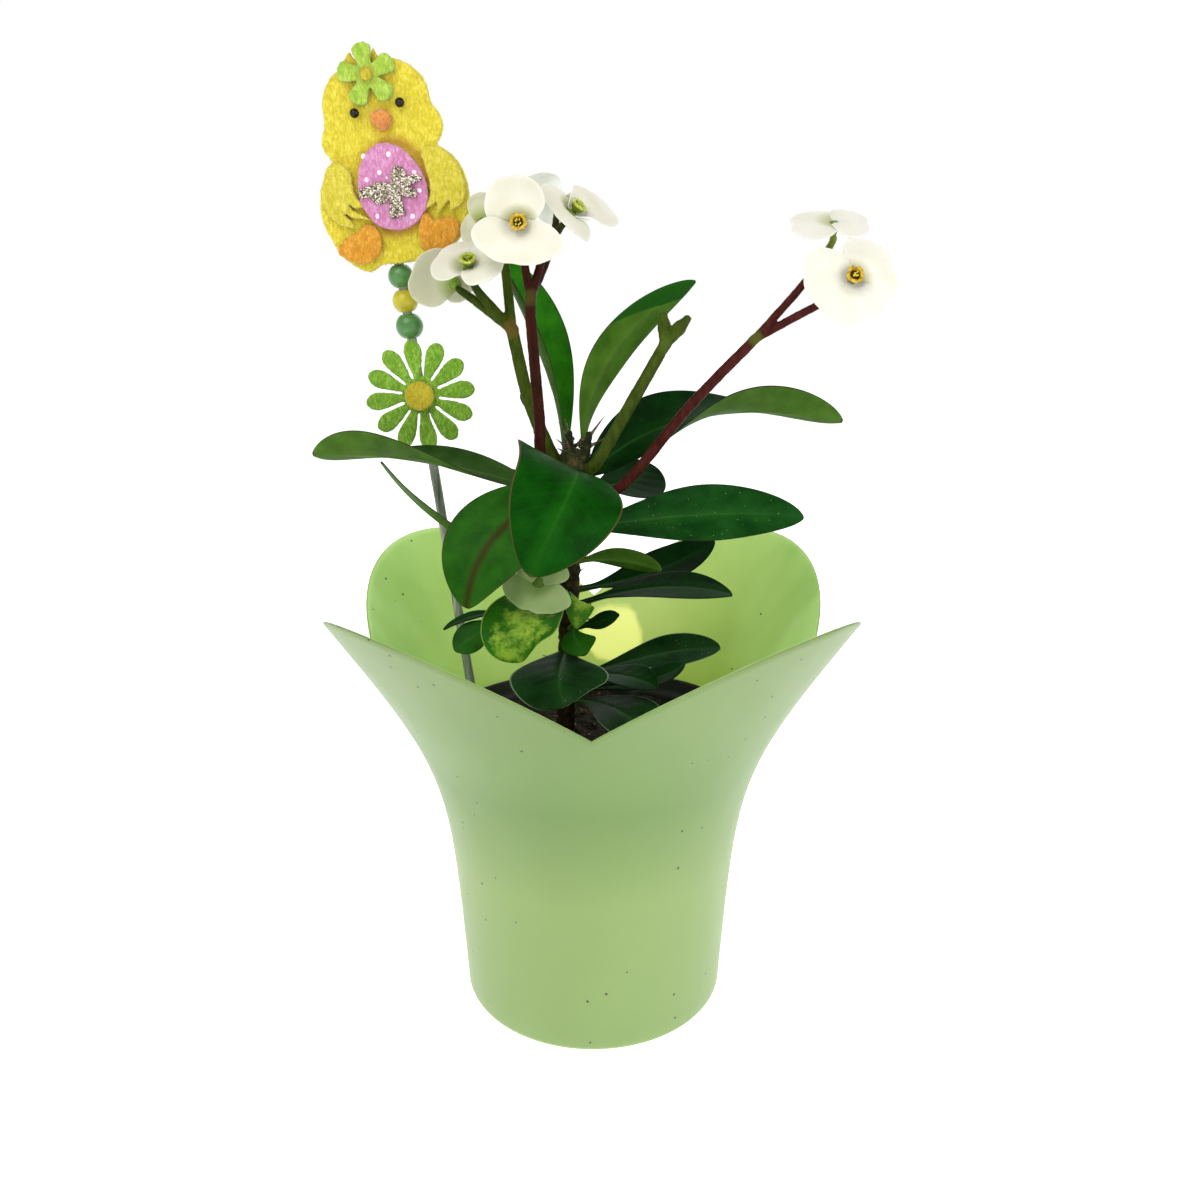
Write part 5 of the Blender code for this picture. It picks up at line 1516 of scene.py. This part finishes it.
# Slits between the feathers: from the edge of the wing inwards, as places on the chick.
SLITS = (
    ((-8.5, -13.4), (-12.2, -10.4)), ((-9.7, -16.1), (-13.6, -12.9)),
    ((20.9, -10.6), (21.4, -3.4)), ((16.9, -11.4), (17.7, -5.0)),
)
LEFT_FOOT = (
    (-14.0, -25.4), (-11.2, -22.2), (-7.8, -20.2), (-4.4, -18.0), (-1.4, -20.2), (-0.7, -23.4),
    (-2.2, -27.0), (-6.6, -29.0), (-11.8, -27.8),
)
RIGHT_FOOT = (
    (13.4, -14.6), (15.6, -16.8), (19.0, -16.0), (22.6, -16.2), (23.4, -20.0), (19.8, -24.2),
    (13.8, -25.6), (11.6, -21.6), (11.9, -17.4),
)
BEAK = ((-1.6, 12.7), (-0.2, 14.2), (2.3, 14.5), (3.9, 12.9), (3.4, 10.6), (1.8, 9.4), (-0.3, 10.8))
BOW = (
    (-6.4, -8.7), (-2.9, -6.7), (-0.1, -5.8), (3.6, -6.2), (3.9, -3.2), (5.6, -1.2), (7.8, -2.3),
    (8.3, -4.5), (11.1, -3.5), (12.9, -4.5), (12.0, -5.4), (7.6, -7.0), (11.2, -7.6), (11.1, -9.9),
    (7.7, -9.7), (6.2, -9.0), (7.6, -15.1), (5.7, -15.1), (4.2, -16.0), (2.6, -15.1), (3.4, -9.7),
    (0.5, -11.8), (-1.6, -11.5), (-3.1, -9.9), (-5.9, -9.9),
)
BOW_CORNERS = (3, 7, 10, 11, 12, 13, 14, 15, 16, 17, 19, 20, 23)
EGG_CENTRE = (3.5, -6.8)
EGG_HALF_WIDTH = 10.2
EGG_HALF_HEIGHT = 12.4
EGG_TILT = 15.0
EGG_POINTS = 16
EYES = {"left": (-6.6, 13.9), "right": (7.2, 16.9)}
EYE_RADIUS = 1.4
HEAD_FLOWER = (-2.3, 24.5)
HEAD_PETALS = dict(count=5, inner=2.2, reach=8.4, width=5.0, start=101, neck=0.4)
DAISY_PETALS = dict(count=12, inner=4.7, reach=17.0, width=4.95, start=98)
DISC_POINTS = 12

# White paint dots on the egg: place round its centre and radius.
EGG_DOTS = (
    ((-8.0, 8.6), 0.9), ((-0.4, 9.2), 0.95), ((-3.3, 4.0), 0.9), ((-7.4, 2.0), 0.9), ((-1.3, 2.5), 0.45),
    ((7.2, 4.0), 0.9), ((8.5, -1.2), 0.85), ((-4.6, -8.6), 0.9), ((6.1, -8.6), 0.9),
)


def egg_outline():
    """An oval that is fuller at its lower end, leaning to the left."""
    tilt = Matrix.Rotation(math.radians(EGG_TILT), 2)
    outline = []
    for i in range(EGG_POINTS):
        angle = math.tau * i / EGG_POINTS
        taper = 1 - 0.12 * math.sin(angle)
        turned = tilt @ Vector((EGG_HALF_WIDTH * taper * math.cos(angle), EGG_HALF_HEIGHT * math.sin(angle)))
        outline.append((turned.x + EGG_CENTRE[0], turned.y + EGG_CENTRE[1]))
    return outline


def line_distance(spot, start, end):
    """How far a place is from the straight line between two others."""
    along = end - start
    part = max(0.0, min(1.0, (spot - start).dot(along) / along.length_squared))
    return (spot - start - along * part).length


def chick_spot(x, z, y):
    """A place on the chick, from its own x and z."""
    return Vector((CHICK_CENTRE.x + x * CHICK_SIZE, y, CHICK_CENTRE.z + z * CHICK_SIZE))


def cut_sheet(name, outline, centre, back, thickness, finish, corners=(), size=1.0, voxel=0.3, soft=0.3):
    """A sheet cut to an outline that faces -Y, with softened edges and one skin."""
    data = bpy.data.curves.new(name, "CURVE")
    data.dimensions = "2D"
    data.fill_mode = "BOTH"
    data.extrude = (thickness / 2 - soft) * MM
    data.bevel_depth = soft * MM
    data.bevel_resolution = 2
    data.offset = -0.4 * soft * MM
    data.resolution_u = 8
    line = data.splines.new("BEZIER")
    line.use_cyclic_u = True
    line.bezier_points.add(len(outline) - 1)
    for i, (slot, (x, z)) in enumerate(zip(line.bezier_points, outline)):
        slot.co = Vector((x, z, 0)) * size * MM
        slot.handle_left_type = slot.handle_right_type = "VECTOR" if i in corners else "AUTO"
    obj = place_mesh(name, data, finish)
    obj.rotation_euler = (math.pi / 2, 0, 0)
    obj.location = Vector((centre.x, back - thickness / 2, centre.z)) * MM
    return skin_over(settle(obj), voxel, 2)


def cut_felt(*sheet, height=0.14, **more):
    """A cut sheet with felt's uneven surface."""
    return roughen(cut_sheet(*sheet, **more), (height, 1.1), (height, 4.0), (height * 0.4, 0.5))


def cut_disc(name, centre, back, radius, thickness, finish):
    """A round felt disc with soft edges."""
    return cut_felt(name, round_places(radius, DISC_POINTS), centre, back, thickness, finish, height=0.1)


def make_body(felt, fibre):
    """The chick's own outline, with painted shade in the colour of soaked-in glue round the pieces on it and
    along the slits.
    """
    front = FELT_BACK - BODY_FELT
    body = cut_felt(
        "body", CHICK_OUTLINE, CHICK_CENTRE, FELT_BACK, BODY_FELT, felt["chick"], CHICK_CORNERS, CHICK_SIZE,
        voxel=0.45, soft=0.45, height=0.2,
    )
    egg, beak, flower = (chick_spot(*place, front) for place in (EGG_CENTRE, (1.0, 11.6), HEAD_FLOWER))
    slits = [[chick_spot(*end, 0.0) for end in slit] for slit in SLITS]

    def rule(spot):
        if spot.y > FELT_BACK - BODY_FELT * 0.6:
            return 0.0, 0.0
        # Painted shade, in the glue colour: a ring round the egg, heavier to its right, a shadow just below
        # the beak, shade round the head flower and inside the wing slits.
        flat = Vector(((spot.x - egg.x) / EGG_HALF_WIDTH, 0, (spot.z - egg.z) / EGG_HALF_HEIGHT))
        ring = max(0.0, 1 - abs(flat.length - 1.02) / 0.22) * (0.8 if spot.x > egg.x - 4 else 0.35)
        beak_shadow = 0.7 * near(Vector((spot.x, beak.y, spot.z - 0.8)), beak, 4.6)
        flower_shadow = 0.5 * near(Vector((spot.x, flower.y, spot.z)), flower, 9.0)
        place = Vector((spot.x, 0.0, spot.z))
        cut = max(0.9 - 1.2 * line_distance(place, *slit) for slit in slits)
        return 0.0, min(1.0, max(ring, beak_shadow, flower_shadow, cut))

    mark(body, rule)
    hand_over(with_fibres(body, fibre["chick"], 1300, 1.7, 0.055, 21), "chick_body", "yellow_felt")


def egg_dots(front, paint):
    dots = bmesh.new()
    for (x, z), radius in EGG_DOTS:
        spot = chick_spot(EGG_CENTRE[0] + x, EGG_CENTRE[1] + z, front - EGG_FELT + 0.02)
        add_blob(dots, spot, (0.85 * radius, 0.85 * radius, 0.14), Vector((0, 1, 0)))
    return from_shape("dots", dots, paint)


def make_trim(felt, fibre, front, paint):
    """Wings, feet, beak and egg, which lie on the body's front."""
    trim = (
        ("chick_wing_left", LEFT_WING, TRIM_FELT, "wing", "yellow_felt", WING_CORNERS),
        ("chick_wing_right", RIGHT_WING, TRIM_FELT, "wing", "yellow_felt", WING_CORNERS),
        ("chick_foot_left", LEFT_FOOT, TRIM_FELT, "foot", "orange_felt", ()),
        ("chick_foot_right", RIGHT_FOOT, TRIM_FELT, "foot", "orange_felt", (1,)),
        ("chick_beak", BEAK, TRIM_FELT, "beak", "orange_felt", (4,)),
        ("egg", egg_outline(), EGG_FELT, "egg", "pink_felt", ()),
    )
    fold = chick_spot(1.6, 11.6, 0.0)
    for seed, (name, outline, thickness, kind, slot, corners) in enumerate(trim, 40):
        piece = cut_felt(
            name + "_felt", outline, CHICK_CENTRE, front, thickness, felt[kind], corners, CHICK_SIZE,
            voxel=0.25 if kind == "wing" else 0.3, soft=0.35,
        )
        if kind == "beak":
            # Painted shade: the beak's lower right half is darkened, as if its fold turns away from the
            # light.
            mark(piece, lambda spot: (0.0, 0.55 * within(0.5 + (spot.x - spot.z - fold.x + fold.z) / 1.2)))
        piece = with_fibres(piece, fibre[kind], 320, 1.2, 0.05, seed)
        if kind == "egg":
            piece = join([piece, egg_dots(front, paint)])
        hand_over(piece, name, slot)


def make_chick(felt, fibre, glitter, glass, paint):
    front = FELT_BACK - BODY_FELT - GAP
    make_body(felt, fibre)
    make_trim(felt, fibre, front, paint)
    ribbon = cut_sheet(
        "ribbon", BOW, CHICK_CENTRE, front - EGG_FELT - GAP, BOW_SHEET, glitter, BOW_CORNERS, CHICK_SIZE,
        0.16, 0.2,
    )
    hand_over(roughen(ribbon, (0.14, 0.35), (0.1, 0.9)), "bow", "glitter")
    centre = chick_spot(*HEAD_FLOWER, 0.0)
    flower = cut_felt(
        "flower", petal_ring(**HEAD_PETALS), centre, front, TRIM_FELT, felt["leafy"],
        petal_corners(HEAD_PETALS),
    )
    # Glue colour round the centre disc: partly real glue, partly painted shade under the disc.
    mark(flower, lambda spot: (0.0, 0.6 * near(Vector((spot.x, centre.y, spot.z)), centre, 3.6)))
    flower = with_fibres(flower, fibre["leafy"], 260, 1.0, 0.05, 61)
    hand_over(flower, "head_flower", "green_felt")
    disc = cut_disc("flower_middle", centre, front - TRIM_FELT - GAP, 1.5, 0.8, felt["disc"])
    hand_over(disc, "head_flower_centre", "yellow_felt")
    for side, (x, z) in EYES.items():
        shape = bmesh.new()
        add_blob(shape, chick_spot(x, z, front - EYE_RADIUS), (EYE_RADIUS,) * 3, Vector((0.3, -1, 0.2)))
        bead = from_shape("eye", shape, glass)
        bead.data.shade_flat()
        hand_over(bead, "chick_eye_" + side, "bead_black")


def make_daisy(felt, fibre):
    petals = cut_felt(
        "petals", petal_ring(**DAISY_PETALS), DAISY_CENTRE, FELT_BACK, TRIM_FELT, felt["daisy"],
        petal_corners(DAISY_PETALS), voxel=0.32,
    )
    petals = with_fibres(petals, fibre["leafy"], 450, 1.1, 0.05, 71)
    hand_over(petals, "daisy_petals", "green_felt")
    disc = cut_disc("daisy_middle", DAISY_CENTRE, FELT_BACK - TRIM_FELT - GAP, 4.3, 1.8, felt["disc"])
    hand_over(with_fibres(disc, fibre["disc"], 50, 0.9, 0.05, 72), "daisy_centre", "yellow_felt")


# Beads threaded on the stick: how many points draw one round and from pole to pole, and for each
# its name, height of the middle, radius, finish and slot.
BEAD_AROUND = 64
BEAD_STEPS = 28
BEADS = (
    ("bead_lower", 217.6, 4.2, "green", "green_bead"),
    ("bead_middle", 225.1, 3.9, "yellow", "yellow_bead"),
    ("bead_upper", 232.4, 3.9, "green", "green_bead"),
)


STICK_STEPS = 60


def make_stick(finish):
    points = [PICK_FOOT.lerp(PICK_TOP, i / STICK_STEPS) for i in range(STICK_STEPS + 1)]
    shape = bmesh.new()
    add_rod(shape, points, [STICK_RADIUS] * len(points), 20, 0.3)
    stick = roughen(from_shape("stick", shape, finish), (0.06, 1.5), (0.10, 9.0))
    hand_over(stick, "pick_stick", "stick_wood")


def bead_profile(radius):
    """Closed outline of a ball with a bore for the stick, as (radius, height) points."""
    bore = STICK_RADIUS + GAP
    start = math.asin((bore + 0.35) / radius)
    angles = [start + (math.pi - 2 * start) * i / BEAD_STEPS for i in range(BEAD_STEPS + 1)]
    top = radius * math.cos(start)
    return [
        (bore, -top * 0.5), (bore, top * 0.9), (bore + 0.08, top - 0.02),
        *[(radius * math.sin(angle), radius * math.cos(angle)) for angle in angles],
        (bore + 0.08, 0.02 - top), (bore, -top * 0.9), (bore, -top * 0.5),
    ]


def make_beads(finishes):
    lean = (PICK_TOP - PICK_FOOT).to_track_quat("Z", "Y").to_matrix().to_4x4()
    for name, height, radius, kind, slot in BEADS:
        bead = lathe(name + "_ball", bead_profile(radius), BEAD_AROUND, finishes[kind])
        place = PICK_FOOT.lerp(PICK_TOP, (height - PICK_FOOT.z) / (PICK_TOP.z - PICK_FOOT.z))
        weld = bmesh.new()
        weld.from_mesh(bead.data)
        bmesh.ops.remove_doubles(weld, verts=weld.verts, dist=0.001 * MM)
        weld.transform(Matrix.Translation(place * MM) @ lean)
        weld.to_mesh(bead.data)
        weld.free()
        bead.data.shade_smooth()
        hand_over(bead, name, slot)


# Studio.


# Soft lights: where each stands, its width in metres and its power in watts.
LIGHTS = (
    ((-300, -500, 800), 0.6, 3.8),
    ((700, -500, 450), 0.7, 1.7),
    ((100, 650, 700), 0.8, 3.0),
)
LIGHT_AIM = Vector((0, 0, 150))

# Surround: white round the horizon, dimmer overhead so that the forms keep their shading.
SURROUND = ((0.64, "#FFFFFF"), (0.74, "#A0A0A0"), (1.0, "#888888"))

# Floor: half its width in metres, and how far it lies under the cover, in millimetres.
FLOOR_HALF = 6.0
FLOOR_DROP = 0.02


def make_camera():
    data = bpy.data.cameras.new("camera")
    data.sensor_width = CAMERA_SENSOR
    data.lens = CAMERA_LENS
    data.clip_start = 0.01
    camera = bpy.data.objects.new("camera", data)
    camera.location = Vector(CAMERA_PLACE) * MM
    camera.rotation_euler = (math.radians(90 - CAMERA_PITCH), 0, 0)
    bpy.context.scene.collection.objects.link(camera)
    bpy.context.scene.camera = camera


def make_studio():
    """Plain pale floor, a white surround and three soft lights."""
    scene = bpy.context.scene
    scene.view_settings.view_transform = "Standard"
    world = bpy.data.worlds.new("white_surround")
    world.use_nodes = True
    tree = world.node_tree
    way = add(tree, "SeparateXYZ", {0: add(tree, "TexCoord").outputs["Generated"]})
    rise = add(tree, "MapRange", {0: way.outputs["Z"], 1: -1.0, 2: 1.0})
    ring = add(tree, "ValToRGB", {0: rise}, SURROUND)
    tree.links.new(ring.outputs[0], tree.nodes["Background"].inputs["Color"])
    scene.world = world
    for i, (place, width, power) in enumerate(LIGHTS):
        data = bpy.data.lights.new("soft_light", "AREA")
        data.size = width
        data.energy = power
        light = bpy.data.objects.new(f"soft_light_{i}", data)
        light.location = Vector(place) * MM
        light.rotation_euler = (LIGHT_AIM - Vector(place)).to_track_quat("-Z", "Y").to_euler()
        scene.collection.objects.link(light)
    shape = bmesh.new()
    bmesh.ops.create_grid(shape, x_segments=1, y_segments=1, size=FLOOR_HALF)
    for vert in shape.verts:
        vert.co.z = -FLOOR_DROP * MM
    white, _ = new_material("white_floor", {
        "Roughness": 1.0, "Base Color": (0.95, 0.95, 0.95, 1.0), "Specular IOR Level": 0.0,
        "Emission Color": (1, 1, 1, 1), "Emission Strength": 0.8,
    })
    from_shape("floor", shape, white)


# Everything together.


# Loose bits on the peat: finish name, its dark and light tone, and the size of its blotches.
CHIPS = {
    "bark": ("bark_chips", "#2A1B11", "#7A5A3C", 1.2),
    "grit": ("pale_grit", "#6E675C", "#B9B2A4", 0.9),
    "pebble": ("pale_pebble", "#A49C8E", "#D6CFC2", 1.4),
    "moss": ("cushion_moss", "#1F3B12", "#57812C", 0.6),
}

# Leaf faces: finish name, deep and light tone, the colour beside the midrib, the rib and the
# margin, and what else the face has.
LEAF_FACES = {
    "under": (
        "leaf_underside", "#365618", "#476A22", "#5E8236", "#84A050", "#3A3024",
        dict(gloss=0.5, ribbed=0.35, veins=0.05),
    ),
    "dark": ("leaf_dark_waxy", "#052306", "#0A330A", "#154710", "#2F5C24", "#1A211A", {}),
    "glossy": (
        "leaf_deep_glossy", "#0E3A10", "#1A4F18", "#2A6626", "#42742C", "#2B1822",
        dict(gloss=0.34, flecks=0.5),
    ),
    "bright": ("leaf_bright_green", "#063602", "#0B4A06", "#226812", "#43842C", "#5A4A2A", dict(ribbed=0.3)),
    "red_ribbed": (
        "leaf_red_ribbed", "#1B4E0C", "#2A6414", "#3A701E", "#46301A", "#4A3A26", dict(band="#3A2812"),
    ),
    "olive": ("leaf_olive", "#223F14", "#33541F", "#42662A", "#5A7A38", "#2B281E", {}),
    "plain": ("leaf_mid_green", "#1A4C0C", "#286612", "#347420", "#528838", "#232A18", dict(gloss=0.36)),
    "grey": (
        "leaf_grey_green", "#0F2C0E", "#1A3F19", "#2A5626", "#4A723C", "#7C9570",
        dict(gloss=0.36, flecks=0.3),
    ),
    "marbled": (
        "leaf_variegated", "#1E5A0C", "#357A16", "#7EA63A", "#A8C254", "#9CB05C",
        dict(ribbed=0.3, marbling="#9DBF42"),
    ),
    "folded": (
        "leaf_folded_underside", "#365C14", "#48701E", "#587A30", "#6E9040", "#5A2E28",
        dict(gloss=0.5, ribbed=0.1, veins=0.03, fold="#1C5010"),
    ),
    "upright": ("leaf_upright_green", "#22660A", "#33850E", "#347A1E", "#528838", "#232A18", {}),
}

# Bract looks: finish of the face and of the back (name, body, shade, heart_and_shade and rim; that colour is
# partly the claw's green and partly painted shade round the glands), and of the neck behind them (name, dark
# and light).
BRACT_LOOKS = {
    "bract": (
        ("ivory_bract_face", "#F2F3EC", "#EEEFE6", "#9E9A5E", "#F8F8F2"),
        ("ivory_bract_back", "#DFDCCC", "#D4D2BE", "#9CA660", "#EFEBE0"),
        ("bloom_neck_green", "#5E7A26", "#84A044"),
    ),
    "white_hearted": (
        ("white_bract_face", "#F2F3EC", "#EEEFE6", "#CCC9A0", "#F8F8F2"),
        ("white_bract_back", "#E6E4D8", "#DCDACA", "#B4B888", "#F2EEE4"),
        ("white_neck_green", "#5E7A26", "#84A044"),
    ),
    # Painted shade: a darker, greyer copy of the ivory bracts, for the blooms that sit in shadow.
    "shaded": (
        ("painted_shade_bract_face", "#CCCAB2", "#BEBEA2", "#8A9A4A", "#DAD8C4"),
        ("painted_shade_bract_back", "#C2C0A6", "#B2B294", "#7F9040", "#D2D0BA"),
        ("shaded_neck_green", "#5E7A26", "#84A044"),
    ),
    "pale_bract": (
        ("green_bract_face", "#B2C28C", "#9AAE72", "#7FA050", "#D5DDB8"),
        ("green_bract_back", "#A9BC82", "#8FA76A", "#7FA050", "#C3D0A0"),
        ("low_neck_green", "#55702C", "#7A9448"),
    ),
}

# Flower stalks: finish name, dark and light, and the colour under the blooms and at the fork.
STALK_LOOKS = {
    "stalk_front": ("maroon_flower_stalk", "#240D06", "#3E1A0E", "#38421A", "#4E4C1E"),
    "stalk_left": ("olive_flower_stalk", "#2C3A08", "#455612", "#2A3A12", "#745428"),
    "stalk_right": ("maroon_right_stalk", "#300F0C", "#50221C", "#6C7E2A", "#5A6A24"),
    "stalk_buds": ("bud_stalk", "#2C3A0A", "#48581A", "#3C5418", "#4A6222"),
}

# Felts: finish name, body, deep and bright tone, and any glue_and_shade colour: painted shade round glued-on
# pieces, with some real glue.
FELTS = {
    "chick": ("yellow_felt_body", "#D0C026", "#BDAB1C", "#DED048", "#A8701C"),
    "wing": ("yellow_felt_wing", "#C9BB2C", "#B7A81E", "#D8CC50"),
    "foot": ("orange_felt", "#CE8E14", "#BE7C0C", "#DCA236"),
    "beak": ("apricot_felt", "#DE8E3A", "#CE7A2A", "#E8A658", "#B8662A"),
    "egg": ("pink_felt", "#C680AA", "#B66C98", "#D69AC2"),
    "daisy": ("deep_green_felt", "#6E9E18", "#5C8C0E", "#8AB83A"),
    "leafy": ("green_felt", "#9ABA36", "#86A626", "#B0CC58", "#A88A22"),
    "disc": ("golden_felt", "#B4A510", "#A2930A", "#C4B42C"),
}

# Loose fibres of each felt: finish name, deep and light tone.
FIBRES = {
    "chick": ("yellow_fibres", "#E0CF3A", "#F0E45A"),
    "wing": ("wing_fibres", "#E6DB50", "#F5EE80"),
    "beak": ("apricot_fibres", "#E0A266", "#F0BC80"),
    "foot": ("orange_fibres", "#E0A236", "#F0BC58"),
    "egg": ("pink_fibres", "#DA98BE", "#EBB6D4"),
    "leafy": ("green_fibres", "#86C444", "#A6DC68"),
    "disc": ("golden_fibres", "#E0CB3C", "#F3E468"),
}


def leaf_looks():
    """Upper face and underside of each leaf look."""
    faces = {look: leaf_finish(*front, **rest) for look, (*front, rest) in LEAF_FACES.items()}
    looks = {look: (top, faces["under"]) for look, top in faces.items()}
    looks["folded"] = faces["dark"], faces["folded"]
    return looks


def make_plant():
    looks = leaf_looks()
    make_stem({"bark": bark_finish(), "thorn": chip_finish("grey_brown_thorn", "#2E241A", "#6E5E42", 0.8)})
    make_leaves(looks)
    make_shoots(looks, twig_finish("green_twig", "#3C5426", "#5F7B38"))
    bracts = {
        look: (bract_finish(*face), bract_finish(*back), twig_finish(*neck))
        for look, (face, back, neck) in BRACT_LOOKS.items()
    }
    glands = {
        "gold": gland_finish("wet_golden_gland", "#9C7806", "#D2AC18", "#CDBE30", "#5A3C0A"),
        "green": gland_finish("wet_green_gland", "#8E9A1E", "#BCC63C", "#93A22C", "#5E6A18"),
    }
    for name, bloom in BLOOMS.items():
        make_bloom(name, bloom, bracts, glands)
    for name, stalk in STALKS.items():
        make_stalk(name, stalk, twig_finish(*STALK_LOOKS[name]))


def make_pick():
    make_stick(wood_finish())
    make_beads({
        "green": bead_finish("pearl_green_lacquer", "#548646", "#43743A"),
        "yellow": bead_finish("pearl_yellow_lacquer", "#BCB22C", "#A89C20"),
    })
    felt = {kind: felt_finish(*tones) for kind, tones in FELTS.items()}
    fibre = {kind: clouded_finish(*tones, 2, {"Roughness": 0.7}) for kind, tones in FIBRES.items()}
    glass = {"Roughness": 0.12, "Specular IOR Level": 0.3}
    make_daisy(felt, fibre)
    make_chick(
        felt, fibre, glitter_finish(), clouded_finish("faceted_black_glass", "#0A0605", "#24150E", 2, glass),
        clouded_finish("white_paint_dot", "#EFC8DF", "#FBEAF4", 1, {"Roughness": 0.45}),
    )


def main():
    make_camera()
    make_studio()
    make_cover(cover_finish())
    make_nursery_pot(pot_finish())
    make_soil({"peat": peat_finish(), **{kind: chip_finish(*chip) for kind, chip in CHIPS.items()}})
    make_plant()
    make_pick()


main()
